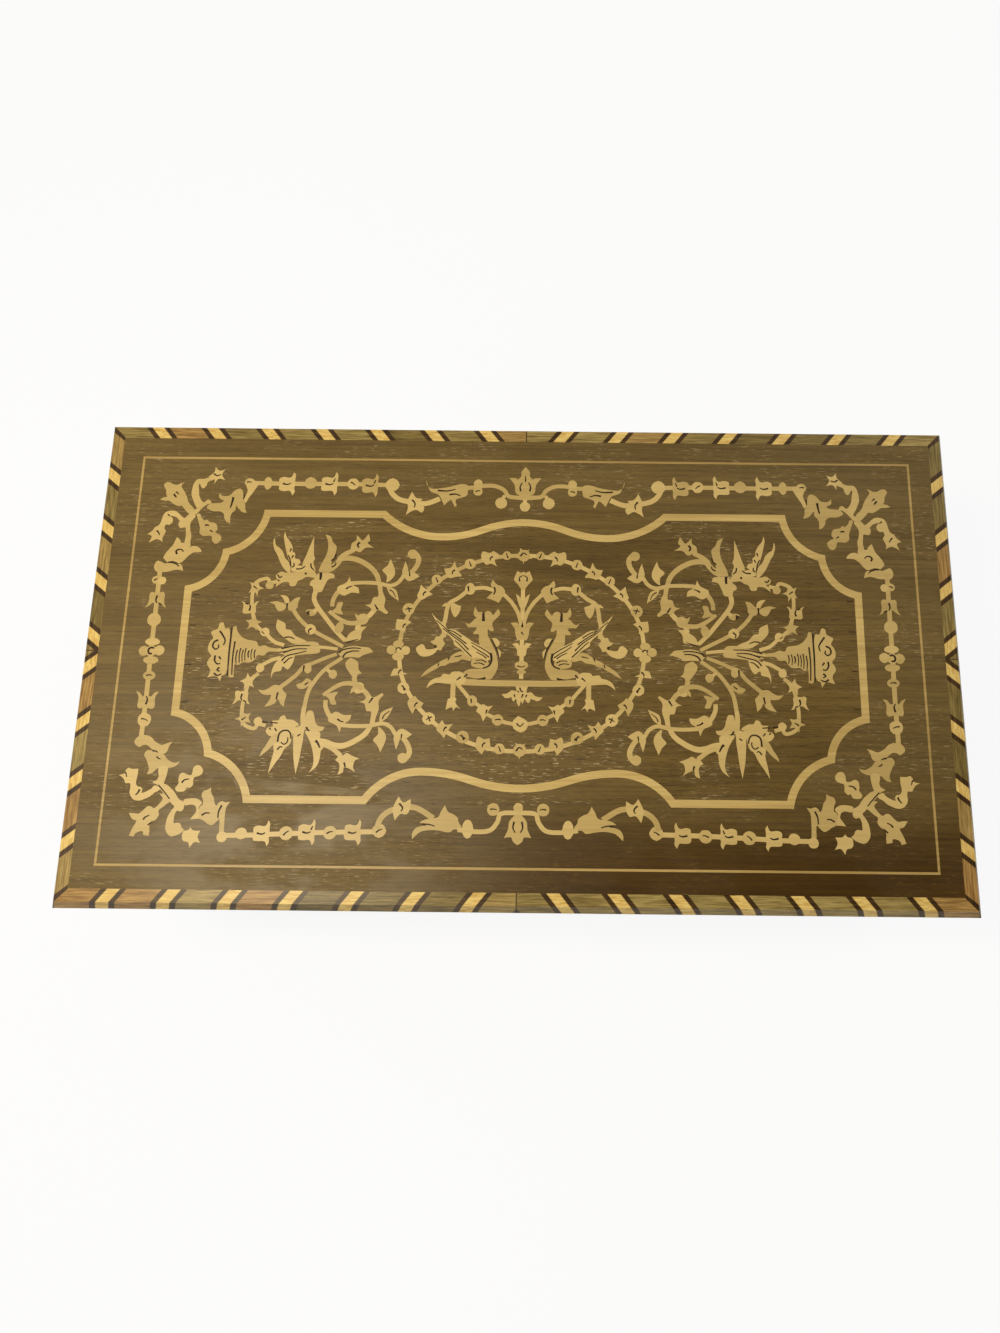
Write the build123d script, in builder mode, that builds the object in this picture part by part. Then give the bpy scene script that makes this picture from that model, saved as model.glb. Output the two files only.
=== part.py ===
"""Musical jewelry box: a mitred walnut case with an inlaid, banded lid, a lined inside and a cylinder movement.

The origin is on the ground under the middle of the box. +X runs along the length to the right,
-Y is the front, +Y the hinge side and +Z is up. Millimetres.
"""

import os
from math import pi

from build123d import *

os.makedirs("parts", exist_ok=True)

# Overall sizes
lid_length = 359.0
lid_width = 203.0
lid_overhang = 4.5
wall_height = 76.0
wall_thickness = 9.0

# Feet and plinth
felt_thickness = 1.5
felt_radius = 6.5
foot_height = 10.5
foot_radius = 10.0
foot_inset = 12.0
plinth_height = 10.0
plinth_depth = 20.0
plinth_step = 2.5

# Case bottom
bottom_lift = 4.0
bottom_thickness = 5.0
groove_depth = 4.0

# Lid
lid_gap = 0.4
rail_height = 12.6
lid_thickness = 8.0
banding_width = 7.5
bevel_run = 2.5
bevel_drop = 5.0
veneer_thickness = 0.8

# Inlaid lines of the lid
string_width = 0.95
string_inset_x = 9.3
string_inset_y = 9.0
cartouche_width = 3.1

# Linings
wall_lining = 2.0
floor_lining_thickness = 1.5
lining_below_rim = 4.0
lid_lining_thickness = 5.0

# Compartments
divider_thickness = 3.0
divider_height = 30.0
music_margin = 10.0
music_width = 70.0
partition_height = 38.5
roll_bay_length = 147.0
roll_radius = 5.6
roll_count = 6
roll_base_thickness = 3.5

# Movement cover
cover_thickness = 4.0
cover_border = 10.0
glass_thickness = 1.5
glass_rebate = 2.0
batten_width = 4.0
batten_height = 6.0

# Mirror
mirror_length = 200.0
mirror_width = 110.0
mirror_thickness = 3.0
mirror_frame_width = 12.0
mirror_frame_height = 7.0
mirror_lip = 3.0
mirror_frame_round = 2.5

# Hinges
hinge_spacing = 230.0
hinge_length = 32.0
leaf_thickness = 1.2
leaf_reach = 8.0
knuckle_radius = 2.2
hinge_pin_radius = 1.0
knuckle_length = 10.0
knuckle_gap = 0.3
hinge_relief = 0.4

# Lock
lock_length = 36.0
lock_depth = 6.0
lock_height = 22.5
selvedge_length = 46.0
selvedge_width = 7.0
selvedge_thickness = 1.5
lock_plate = 1.0
bolt_travel = 5.0
eye_thickness = 1.6
eye_width = 3.2
nose_thickness = 1.2
nose_height = 2.0
eye_drop = 8.6
eye_spacing = 13.0
strike_thickness = 1.2
keyhole_radius = 2.0
keyhole_drop = 6.0
keyhole_slot = 1.8
lock_chamber = 12.0
bolt_height = 5.0
bolt_finger = 3.0
strike_length = 27.0
escutcheon_height = 20.0
escutcheon_width = 13.0
escutcheon_thickness = 0.8

# Movement
pillar_height = 2.5
pillar_radius = 3.5
bed_screw_radius = 1.4
bed_screw_inset = 5.0
bed_past_cylinder = 52.0
bedplate_width = 58.0
bedplate_thickness = 2.5
bedplate_margin_x = 4.0
bedplate_margin_y = 2.0
contrate_teeth = 36
pinion_teeth = 12
contrate_module = 0.875
contrate_face = 3.0
wheel_disc_gap = 1.5
wheel_disc_thickness = 2.0
drum_height = 13.0
drum_gap = 1.0
barrel_offset_x = 18.5
train_offset_y = 32.0
pinion_width = 2.0
cylinder_length = 28.0
cylinder_radius = 7.0
cylinder_arbor_radius = 1.5
cylinder_wheel_teeth = 32
second_pinion_teeth = 8
train_module = 0.5
cylinder_wheel_width = 1.5
second_arbor_radius = 0.7
worm_wheel_teeth = 20
worm_module = 0.6
worm_wheel_width = 1.2
worm_pitch_radius = 2.2
worm_turns = 4.5
worm_arbor_radius = 0.7
fan_radius = 6.0
fan_height = 6.0
plate_thickness = 1.5
winding_arbor_radius = 2.0
key_reach = 12.0
key_height = 18.0
key_hub_radius = 3.5
key_wing_radius = 6.0
key_thickness = 2.0
bridge_width = 11.0
bridge_post = 3.5
bearing_foot = 4.5
bearing_half_width = 6.0
bracket_reach = 4.0
comb_teeth = 18
comb_pitch = 1.45
comb_slot = 0.35
comb_thickness = 1.2
comb_tooth_length = 14.1
comb_base_width = 8.5
comb_side = 2.0
comb_screw_radius = 1.2
comb_screw_pitch = 10.0
pin_reach = 0.9
stop_rod_radius = 0.8
stop_travel = 4.0
stop_reach = 12.3
stop_arm = 1.6
guide_height = 11.0
guide_post = 4.0

# Clearances
fit = 0.06
seat = 0.03
part_gap = 0.3
screw_gap = 0.02

# Levels above the ground
foot_z = felt_thickness
plinth_z = foot_z + foot_height
wall_z = plinth_z + plinth_height
wall_top_z = wall_z + wall_height
bottom_z = wall_z + bottom_lift
bottom_top_z = bottom_z + bottom_thickness
floor_z = bottom_top_z + floor_lining_thickness
rail_z = wall_top_z + lid_gap
lid_z = rail_z + rail_height
lid_top_z = lid_z + lid_thickness
veneer_z = lid_top_z - veneer_thickness

# Plan of the case
case_length = lid_length - 2 * lid_overhang
case_width = lid_width - 2 * lid_overhang
inner_x = case_length / 2 - wall_thickness
inner_y = case_width / 2 - wall_thickness
lined_x = inner_x - wall_lining
lined_y = inner_y - wall_lining
field_x = lid_length / 2 - banding_width
field_y = lid_width / 2 - banding_width
string_half_length = field_x - string_inset_x
string_half_width = field_y - string_inset_y

# Plan of the compartments
bedplate_length = cylinder_length + bed_past_cylinder
music_length = bedplate_length + music_margin
music_x = lined_x - music_length
music_y = lined_y - music_width
partition_x = music_x - divider_thickness
partition_y = music_y - divider_thickness
partition_top_z = floor_z + partition_height
cross_x = -lined_x + roll_bay_length
long_divider_y = partition_y - divider_thickness


# Lengths of moulding, mitred at both ends
def mitred_frame(outer_length, outer_width, section):
    """Front, right, back and left lengths; the section has x inward from the outer face and y up."""
    lengths = []
    for turn in range(4):
        along, across = (outer_length, outer_width) if turn % 2 == 0 else (outer_width, outer_length)
        with BuildPart() as moulding:
            with BuildSketch(Plane(origin=(0, -across / 2, 0), x_dir=(0, 1, 0), z_dir=(1, 0, 0))):
                add(section)
            extrude(amount=along / 2, both=True)
            for end in (1, -1):
                mitre = Plane(origin=(end * along / 2, -across / 2, 0), x_dir=(0, 0, 1), z_dir=(end, 1, 0))
                split(bisect_by=mitre, keep=Keep.BOTTOM)
        lengths.append(moulding.part.rotate(Axis.Z, 90 * turn))
    return lengths


# A toothed outline: tapered teeth on a root circle
def gear_outline(teeth, root_radius, tip_radius, root_half, tip_half, first_tooth=0.0):
    with BuildSketch() as outline:
        Circle(root_radius)
        with PolarLocations(0, teeth, start_angle=first_tooth):
            Polygon((root_radius - 0.2, -root_half), (tip_radius, -tip_half), (tip_radius, tip_half),
                    (root_radius - 0.2, root_half), align=None)
    return outline.sketch


# Case walls: one grooved board section, mitred at the corners
with BuildSketch() as wall_section:
    with Locations((0, wall_z)):
        Rectangle(wall_thickness, wall_height, align=Align.MIN)
    with Locations((wall_thickness - groove_depth, bottom_z)):
        Rectangle(groove_depth, bottom_thickness, align=Align.MIN, mode=Mode.SUBTRACT)
front_board, right_board, back_board, left_board = mitred_frame(case_length, case_width, wall_section.sketch)

# Lock places, from the middle of the front wall
front_y = -case_width / 2
lock_back_y = front_y + wall_thickness
lock_front_y = lock_back_y - lock_depth
selvedge_z = wall_top_z - selvedge_thickness
lock_z = wall_top_z - lock_height
keyhole_z = lock_z + keyhole_drop + keyhole_radius


def keyhole(reach):
    """A round hole over a narrow slot, cut through the front along Y."""
    with BuildPart() as hole:
        with BuildSketch(Plane(origin=(0, front_y - reach / 2, keyhole_z), x_dir=(1, 0, 0), z_dir=(0, -1, 0))):
            Circle(keyhole_radius)
            with Locations((0, -keyhole_drop / 2)):
                Rectangle(keyhole_slot, keyhole_drop)
        extrude(amount=reach, both=True)
    return hole.part


# Hinge places: the pin lies just behind the back face, half way up the gap under the lid
hinge_y = case_width / 2 + lid_gap / 2 + part_gap
hinge_z = wall_top_z + lid_gap / 2
relief_radius = knuckle_radius + hinge_relief
leaf_inner_y = case_width / 2 - leaf_reach
hinge_places = [(-hinge_spacing / 2, 0), (hinge_spacing / 2, 0)]


def hinge_mortise(level, height):
    """Room for a leaf and for the knuckles, one at each hinge."""
    with BuildPart() as mortise:
        with Locations(*hinge_places):
            with Locations((0, leaf_inner_y, level)):
                Box(hinge_length, leaf_reach * 2, height, align=(Align.CENTER, Align.MIN, Align.MIN))
            with Locations((0, hinge_y, hinge_z)):
                Cylinder(relief_radius, hinge_length + 2 * hinge_relief, rotation=(0, 90, 0))
    return mortise.part


with BuildPart() as back_wall:
    add(back_board)
    add(hinge_mortise(wall_top_z - leaf_thickness, 2 * leaf_thickness), mode=Mode.SUBTRACT)
back_wall.part.label = "back_wall"
export_step(back_wall.part, "parts/back_wall.step")

with BuildPart() as right_wall:
    add(right_board)
right_wall.part.label = "right_wall"
export_step(right_wall.part, "parts/right_wall.step")

with BuildPart() as left_wall:
    add(left_board)
left_wall.part.label = "left_wall"
export_step(left_wall.part, "parts/left_wall.step")

# Plinth: a stepped moulding with a hollow top edge, mitred round the foot of the walls
plinth_length = case_length + 2 * plinth_step
plinth_width = case_width + 2 * plinth_step
with BuildSketch() as plinth_section:
    with BuildLine():
        Polyline((0, plinth_z), (plinth_depth, plinth_z), (plinth_depth, wall_z), (plinth_step, wall_z))
        ThreePointArc((plinth_step, wall_z), (plinth_step * 0.6, wall_z - plinth_step * 0.9),
                      (plinth_step * 0.25, wall_z - plinth_height * 0.4))
        Polyline((plinth_step * 0.25, wall_z - plinth_height * 0.4), (0, wall_z - plinth_height * 0.4),
                 (0, plinth_z))
    make_face()
plinth_mouldings = Compound(label="plinth_mouldings",
                            children=mitred_frame(plinth_length, plinth_width, plinth_section.sketch))
export_step(plinth_mouldings, "parts/plinth_mouldings.step")

# Bun feet on felts, one under each corner
foot_x = plinth_length / 2 - foot_inset
foot_y = plinth_width / 2 - foot_inset
foot_places = [(sx * foot_x, sy * foot_y) for sx in (-1, 1) for sy in (-1, 1)]
with BuildPart() as one_foot:
    with BuildSketch(Plane.XZ):
        Polygon((0, foot_z), (felt_radius, foot_z), (foot_radius * 0.9, foot_z + foot_height * 0.13),
                (foot_radius, foot_z + foot_height * 0.36), (foot_radius, foot_z + foot_height * 0.52),
                (foot_radius * 0.9, foot_z + foot_height * 0.75), (foot_radius * 0.75, plinth_z - 1.2),
                (foot_radius * 0.75, plinth_z), (0, plinth_z), align=None)
    revolve(axis=Axis.Z)
with BuildPart() as bun_feet:
    with Locations(*foot_places):
        add(one_foot.part)
bun_feet.part.label = "bun_feet"
export_step(bun_feet.part, "parts/bun_feet.step")

with BuildPart() as foot_felts:
    with Locations(*foot_places):
        Cylinder(felt_radius, felt_thickness, align=(Align.CENTER, Align.CENTER, Align.MIN))
foot_felts.part.label = "foot_felts"
export_step(foot_felts.part, "parts/foot_felts.step")

# Movement places, from the right rear corner of the lined case
bed_x = music_x + bedplate_margin_x
bed_y = music_y + bedplate_margin_y
bed_z = floor_z + pillar_height
bed_top_z = bed_z + bedplate_thickness
barrel_x = bed_x + barrel_offset_x
train_y = bed_y + train_offset_y
bed_screw_places = [(bed_x + dx, bed_y + dy) for dx in (bed_screw_inset, bedplate_length - bed_screw_inset)
                    for dy in (bed_screw_inset, bedplate_width - bed_screw_inset)]

# Bottom board, held in the wall grooves, with holes for the movement screws and the winding arbor
with BuildPart() as bottom_board:
    with Locations((0, 0, bottom_z)):
        Box(2 * (inner_x + groove_depth - seat), 2 * (inner_y + groove_depth - seat), bottom_thickness,
            align=(Align.CENTER, Align.CENTER, Align.MIN))
    with Locations(*bed_screw_places):
        Cylinder(bed_screw_radius + part_gap, 2 * lid_top_z, mode=Mode.SUBTRACT)
    with Locations((barrel_x, train_y)):
        Cylinder(winding_arbor_radius + 1, 2 * lid_top_z, mode=Mode.SUBTRACT)
bottom_board.part.label = "bottom_board"
export_step(bottom_board.part, "parts/bottom_board.step")

# Floor and wall linings: card covered in velvet
with BuildPart() as floor_lining:
    with Locations((0, 0, bottom_top_z)):
        Box(2 * (inner_x - seat), 2 * (inner_y - seat), floor_lining_thickness,
            align=(Align.CENTER, Align.CENTER, Align.MIN))
    with Locations(*bed_screw_places):
        Cylinder(bed_screw_radius + part_gap, 2 * lid_top_z, mode=Mode.SUBTRACT)
    with Locations((barrel_x, train_y)):
        Cylinder(winding_arbor_radius + 1, 2 * lid_top_z, mode=Mode.SUBTRACT)
floor_lining.part.label = "floor_lining"
export_step(floor_lining.part, "parts/floor_lining.step")

lining_top_z = wall_top_z - lining_below_rim
with BuildPart() as wall_linings:
    for side in (-1, 1):
        with Locations((0, side * (inner_y - wall_lining / 2), floor_z)):
            Box(2 * inner_x, wall_lining, lining_top_z - floor_z, align=(Align.CENTER, Align.CENTER, Align.MIN))
        with Locations((side * (inner_x - wall_lining / 2), 0, floor_z)):
            Box(wall_lining, 2 * (lined_y - screw_gap), lining_top_z - floor_z,
                align=(Align.CENTER, Align.CENTER, Align.MIN))
wall_linings.part.label = "wall_linings"
export_step(wall_linings.part, "parts/wall_linings.step")

# Dividers: a long and a cross board, halved over each other
divider_top_z = floor_z + divider_height
halving_z = floor_z + divider_height / 2
with BuildPart() as long_divider:
    with Locations((-lined_x + seat, long_divider_y, floor_z)):
        Box(partition_x + lined_x - 2 * seat, divider_thickness, divider_height, align=Align.MIN)
    with Locations((cross_x - seat, long_divider_y, halving_z)):
        Box(divider_thickness + 2 * seat, divider_thickness, divider_height, align=Align.MIN, mode=Mode.SUBTRACT)
with BuildPart() as cross_divider:
    with Locations((cross_x, -lined_y + seat, floor_z)):
        Box(divider_thickness, 2 * (lined_y - seat), divider_height, align=Align.MIN)
    with Locations((cross_x, long_divider_y - seat, floor_z)):
        Box(divider_thickness, divider_thickness + 2 * seat, divider_height / 2, align=Align.MIN,
            mode=Mode.SUBTRACT)
compartment_dividers = Compound(label="compartment_dividers", children=[long_divider.part, cross_divider.part])
export_step(compartment_dividers, "parts/compartment_dividers.step")

# Partitions round the movement
with BuildPart() as movement_partitions:
    with Locations((partition_x, partition_y, floor_z)):
        Box(lined_x - partition_x - seat, divider_thickness, partition_height, align=Align.MIN)
        Box(divider_thickness, lined_y - partition_y - seat, partition_height, align=Align.MIN)
movement_partitions.part.label = "movement_partitions"
export_step(movement_partitions.part, "parts/movement_partitions.step")

# Ring rolls: padded rolls side by side on a covered board, with slots for rings between them
roll_bay_y = long_divider_y + divider_thickness
roll_bay_width = lined_y - roll_bay_y
roll_pitch = (roll_bay_width - 2 * part_gap) / roll_count
roll_length = roll_bay_length - 2 * part_gap
with BuildPart() as ring_roll_base:
    with Locations((-lined_x + part_gap, roll_bay_y + part_gap, floor_z)):
        Box(roll_length, roll_bay_width - 2 * part_gap, roll_base_thickness, align=Align.MIN)
ring_roll_base.part.label = "ring_roll_base"
export_step(ring_roll_base.part, "parts/ring_roll_base.step")

roll_z = floor_z + roll_base_thickness + roll_radius + 0.1
with BuildPart() as ring_rolls:
    for place in range(roll_count):
        middle_y = roll_bay_y + part_gap + roll_pitch * (place + 0.5)
        with Locations((-lined_x + part_gap + roll_length / 2, middle_y, roll_z)):
            Cylinder(min(roll_radius, roll_pitch / 2 - 0.1), roll_length - 1, rotation=(0, 90, 0))
ring_rolls.part.label = "ring_rolls"
export_step(ring_rolls.part, "parts/ring_rolls.step")

# Lock places inside the case: the eyes of the strike hang in the bolt's chamber
eye_places = [-eye_spacing / 2, eye_spacing / 2]
eye_y = lock_back_y - lock_depth / 2
eye_z = rail_z - eye_drop
nose_z = eye_z + 1.6
bolt_z = eye_z - part_gap - bolt_height
cavity_z = bolt_z - fit
nose_tips = [x - eye_thickness / 2 - part_gap for x in eye_places]
finger_rights = [tip - bolt_travel + part_gap for tip in nose_tips]
bolt_left = finger_rights[0] - bolt_finger
bolt_right = eye_places[1]
cavity_left = bolt_left - part_gap
cavity_right = max(bolt_right, nose_tips[1]) + bolt_travel + part_gap
lock_inner = lock_depth - 2 * lock_plate

# Lock case: two iron plates on a frame under the selvedge, with the key pin inside
with BuildPart() as lock_body:
    with Locations((0, eye_y, lock_z)):
        Box(lock_length - 2 * seat, lock_depth - seat, selvedge_z - lock_z,
            align=(Align.CENTER, Align.CENTER, Align.MIN))
    with Locations((0, lock_back_y - selvedge_width + seat, selvedge_z)):
        Box(selvedge_length - 2 * seat, selvedge_width - seat, selvedge_thickness,
            align=(Align.CENTER, Align.MIN, Align.MIN))
    with Locations(((cavity_left + cavity_right) / 2, eye_y, cavity_z)):
        Box(cavity_right - cavity_left, lock_inner, selvedge_z - cavity_z,
            align=(Align.CENTER, Align.CENTER, Align.MIN), mode=Mode.SUBTRACT)
    with Locations((0, eye_y, lock_z + lock_plate)):
        Box(lock_chamber, lock_inner, cavity_z - lock_z - lock_plate,
            align=(Align.CENTER, Align.CENTER, Align.MIN), mode=Mode.SUBTRACT)
    with Locations(*[(x, eye_y, selvedge_z) for x in eye_places]):
        Box(eye_thickness + 2 * part_gap, eye_width + 3 * part_gap, 4 * selvedge_thickness, mode=Mode.SUBTRACT)
    with Locations((0, lock_front_y, keyhole_z)):
        Cylinder(keyhole_radius, 2 * lock_plate, rotation=(90, 0, 0), mode=Mode.SUBTRACT)
    with Locations((0, eye_y, keyhole_z)):
        Cylinder(keyhole_radius / 2, lock_inner + lock_plate, rotation=(90, 0, 0))
lock_body.part.label = "lock_body"
export_step(lock_body.part, "parts/lock_body.step")

# Lock bolt: a sliding bar whose two noses pass through the eyes of the strike
with BuildPart() as lock_bolt:
    with Locations(((bolt_left + bolt_right) / 2, eye_y, bolt_z)):
        Box(bolt_right - bolt_left, lock_inner - 2 * fit, bolt_height,
            align=(Align.CENTER, Align.CENTER, Align.MIN))
    for finger_right, nose_tip in zip(finger_rights, nose_tips):
        with Locations((finger_right, eye_y, bolt_z + bolt_height)):
            Box(bolt_finger, nose_thickness, nose_z + nose_height - bolt_z - bolt_height,
                align=(Align.MAX, Align.CENTER, Align.MIN))
        with Locations((nose_tip, eye_y, nose_z)):
            Box(nose_tip - finger_right + 1, nose_thickness, nose_height,
                align=(Align.MAX, Align.CENTER, Align.MIN))
lock_bolt.part.label = "lock_bolt"
export_step(lock_bolt.part, "parts/lock_bolt.step")

# Front wall: recess for the lock, mortise for its selvedge, and the keyhole
with BuildPart() as front_wall:
    add(front_board)
    with Locations((0, lock_back_y, lock_z)):
        Box(lock_length, 2 * lock_depth, 2 * wall_height, align=(Align.CENTER, Align.CENTER, Align.MIN),
            mode=Mode.SUBTRACT)
    with Locations((0, lock_back_y, selvedge_z)):
        Box(selvedge_length, 2 * selvedge_width, 2 * selvedge_thickness,
            align=(Align.CENTER, Align.CENTER, Align.MIN), mode=Mode.SUBTRACT)
    add(keyhole(wall_thickness), mode=Mode.SUBTRACT)
front_wall.part.label = "front_wall"
export_step(front_wall.part, "parts/front_wall.step")

# Escutcheon: a pressed brass plate round the keyhole
with BuildPart() as escutcheon:
    with BuildSketch(Plane(origin=(0, front_y, keyhole_z - keyhole_drop / 2), x_dir=(1, 0, 0), z_dir=(0, -1, 0))):
        Ellipse(escutcheon_width / 2, escutcheon_height / 2)
    extrude(amount=escutcheon_thickness)
    chamfer(escutcheon.edges().group_by(Axis.Y)[0], escutcheon_thickness * 0.6)
    add(keyhole(2 * escutcheon_thickness), mode=Mode.SUBTRACT)
escutcheon.part.label = "escutcheon"
export_step(escutcheon.part, "parts/escutcheon.step")

# Hinges: each leaf is let in flush, the case leaf has the outer knuckles and the lid leaf the middle one
outer_knuckle = (hinge_length - knuckle_length) / 2 - knuckle_gap


def hinge_leaves(level, side, knuckles, other_knuckles):
    """One leaf at each hinge; knuckles and other_knuckles are (middle, length) along the pin."""
    with BuildPart() as leaf:
        with Locations((0, leaf_inner_y + seat, level)):
            Box(hinge_length - 2 * seat, hinge_y - leaf_inner_y - seat, leaf_thickness - seat,
                align=(Align.CENTER, Align.MIN, Align.MIN if side > 0 else Align.MAX))
        for middle, length in other_knuckles:
            with Locations((middle, hinge_y, hinge_z)):
                Cylinder(relief_radius, length + 2 * knuckle_gap, rotation=(0, 90, 0), mode=Mode.SUBTRACT)
        for middle, length in knuckles:
            with Locations((middle, hinge_y, hinge_z)):
                Cylinder(knuckle_radius, length, rotation=(0, 90, 0))
        with Locations((0, hinge_y, hinge_z)):
            Cylinder(hinge_pin_radius + fit, 2 * hinge_length, rotation=(0, 90, 0), mode=Mode.SUBTRACT)
    with BuildPart() as pair:
        with Locations(*hinge_places):
            add(leaf.part)
    return pair.part


outer_middle = (knuckle_length + outer_knuckle) / 2 + knuckle_gap
outer_knuckles = [(-outer_middle, outer_knuckle), (outer_middle, outer_knuckle)]
middle_knuckle = [(0, knuckle_length)]
hinge_case_leaves = hinge_leaves(wall_top_z, -1, outer_knuckles, middle_knuckle)
hinge_case_leaves.label = "hinge_case_leaves"
export_step(hinge_case_leaves, "parts/hinge_case_leaves.step")

hinge_lid_leaves = hinge_leaves(rail_z, 1, middle_knuckle, outer_knuckles)
hinge_lid_leaves.label = "hinge_lid_leaves"
export_step(hinge_lid_leaves, "parts/hinge_lid_leaves.step")

with BuildPart() as hinge_pins:
    with Locations(*hinge_places):
        with Locations((0, hinge_y, hinge_z)):
            Cylinder(hinge_pin_radius, hinge_length, rotation=(0, 90, 0))
hinge_pins.part.label = "hinge_pins"
export_step(hinge_pins.part, "parts/hinge_pins.step")

# Lid rails: one board section, mitred, with mortises for the strike and the hinges
with BuildSketch() as rail_section:
    with Locations((0, rail_z)):
        Rectangle(wall_thickness, rail_height, align=Align.MIN)
front_strip, right_strip, back_strip, left_strip = mitred_frame(case_length, case_width, rail_section.sketch)

with BuildPart() as lid_front_rail:
    add(front_strip)
    with Locations((0, eye_y, rail_z)):
        Box(strike_length, lock_depth, 2 * strike_thickness, mode=Mode.SUBTRACT)
lid_front_rail.part.label = "lid_front_rail"
export_step(lid_front_rail.part, "parts/lid_front_rail.step")

with BuildPart() as lid_back_rail:
    add(back_strip)
    add(hinge_mortise(rail_z - leaf_thickness, 2 * leaf_thickness), mode=Mode.SUBTRACT)
lid_back_rail.part.label = "lid_back_rail"
export_step(lid_back_rail.part, "parts/lid_back_rail.step")

lid_side_rails = Compound(label="lid_side_rails", children=[right_strip, left_strip])
export_step(lid_side_rails, "parts/lid_side_rails.step")

# Strike: a plate let into the front rail, with two eyes that hang down into the lock
with BuildPart() as lock_strike:
    with Locations((0, eye_y, rail_z)):
        Box(strike_length - 2 * seat, lock_depth - 2 * seat, strike_thickness - seat,
            align=(Align.CENTER, Align.CENTER, Align.MIN))
    with Locations(*[(x, eye_y, eye_z) for x in eye_places]):
        Box(eye_thickness, eye_width, eye_drop, align=(Align.CENTER, Align.CENTER, Align.MIN))
    fillet(lock_strike.edges().filter_by(Axis.X).group_by(Axis.Z)[0], eye_width * 0.3)
    with Locations(*[(x, eye_y, nose_z + nose_height / 2) for x in eye_places]):
        Box(2 * eye_thickness, nose_thickness + 2 * part_gap, nose_height + 2 * part_gap, mode=Mode.SUBTRACT)
lock_strike.part.label = "lock_strike"
export_step(lock_strike.part, "parts/lock_strike.step")

# Lid board inside its edge bandings
with BuildPart() as lid_board:
    with Locations((0, 0, lid_z)):
        Box(2 * field_x, 2 * field_y, lid_thickness - veneer_thickness,
            align=(Align.CENTER, Align.CENTER, Align.MIN))
lid_board.part.label = "lid_board"
export_step(lid_board.part, "parts/lid_board.step")

with BuildSketch() as banding_section:
    Polygon((0, lid_z), (banding_width, lid_z), (banding_width, lid_top_z), (bevel_run, lid_top_z),
            (0, lid_top_z - bevel_drop), align=None)
edge_bandings = Compound(label="edge_bandings", children=mitred_frame(lid_length, lid_width, banding_section.sketch))
export_step(edge_bandings, "parts/edge_bandings.step")

# Cartouche of the lid: middle line of the inlaid band, straight runs with hollow corners and waved middles.
# The ends give the end of the upright, the cusp and the end of the straight run, in from the stringing line.
# The waves give their start, bottom and crown, out from the middle and in from the stringing line.
upper_ends = [(24.6, 58.4), (38.8, 42.2), (54.6, 24.8)]
upper_wave = [(59.0, 24.8), (34.5, 34.6), (0.0, 27.9)]
lower_ends = [(24.6, 59.9), (39.3, 43.6), (56.2, 25.7)]
lower_wave = [(60.6, 25.7), (38.5, 37.2), (0.0, 30.9)]
hollow = 3.6


def half_points(ends, wave, rise):
    """The points of one half of the middle line; rise is 1 for the upper half and -1 for the lower one."""
    points = [(string_half_length - inset, rise * (string_half_width - down)) for inset, down in ends]
    return points + [(out, rise * (string_half_width - down)) for out, down in wave]


upper_half = half_points(upper_ends, upper_wave, 1)
lower_half = half_points(lower_ends, lower_wave, -1)


def between(start, end, bulge):
    """The point beside the middle of a run, moved to its left by bulge."""
    run = Vector(*end) - Vector(*start)
    middle = (Vector(*start) + Vector(*end)) / 2
    return middle + Vector(-run.Y, run.X).normalized() * bulge


def cartouche_half(points, side):
    """Lines, arcs and the wave of one quarter, from the upright to the crown; side is 1 right, -1 left."""
    upright, cusp, shoulder, start, bottom, crown = [(side * x, y) for x, y in points]
    turn = side if points[0][1] > 0 else -side
    ThreePointArc(upright, between(upright, cusp, turn * hollow), cusp)
    ThreePointArc(cusp, between(cusp, shoulder, turn * hollow), shoulder)
    Line(shoulder, start)
    swing = ((bottom[0] + crown[0]) / 2, (bottom[1] + crown[1]) / 2)
    TangentArc(bottom, start, tangent=(side, 0))
    TangentArc(bottom, swing, tangent=(-side, 0))
    TangentArc(crown, swing, tangent=(side, 0))


with BuildSketch() as cartouche:
    with BuildLine():
        for half in (upper_half, lower_half):
            for side in (1, -1):
                cartouche_half(half, side)
        for side in (1, -1):
            Line((side * upper_half[0][0], upper_half[0][1]), (side * lower_half[0][0], lower_half[0][1]))
    make_face()


def cartouche_line(width):
    """The cartouche's line at a given width."""
    with BuildSketch() as line:
        offset(cartouche.sketch, amount=width / 2, kind=Kind.INTERSECTION)
        offset(cartouche.sketch, amount=-width / 2, kind=Kind.INTERSECTION, mode=Mode.SUBTRACT)
    return line.sketch


def string_line(width):
    """The rectangular stringing at a given width."""
    with BuildSketch() as line:
        Rectangle(2 * string_half_length + width, 2 * string_half_width + width)
        Rectangle(2 * string_half_length - width, 2 * string_half_width - width, mode=Mode.SUBTRACT)
    return line.sketch


# Lid veneer: a border, a field and the ground inside the cartouche, parted by the inlaid lines
with BuildPart() as lid_veneer:
    with BuildSketch(Plane.XY.offset(veneer_z)):
        Rectangle(2 * field_x, 2 * field_y)
        add(string_line(string_width + 2 * screw_gap), mode=Mode.SUBTRACT)
        add(cartouche_line(cartouche_width + 2 * screw_gap), mode=Mode.SUBTRACT)
    extrude(amount=veneer_thickness)
lid_veneer.part.label = "lid_veneer"
export_step(lid_veneer.part, "parts/lid_veneer.step")

with BuildPart() as stringing_line:
    with BuildSketch(Plane.XY.offset(veneer_z)):
        add(string_line(string_width))
    extrude(amount=veneer_thickness)
stringing_line.part.label = "stringing_line"
export_step(stringing_line.part, "parts/stringing_line.step")

with BuildPart() as cartouche_band:
    with BuildSketch(Plane.XY.offset(veneer_z)):
        add(cartouche_line(cartouche_width))
    extrude(amount=veneer_thickness)
cartouche_band.part.label = "cartouche_band"
export_step(cartouche_band.part, "parts/cartouche_band.step")

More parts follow.
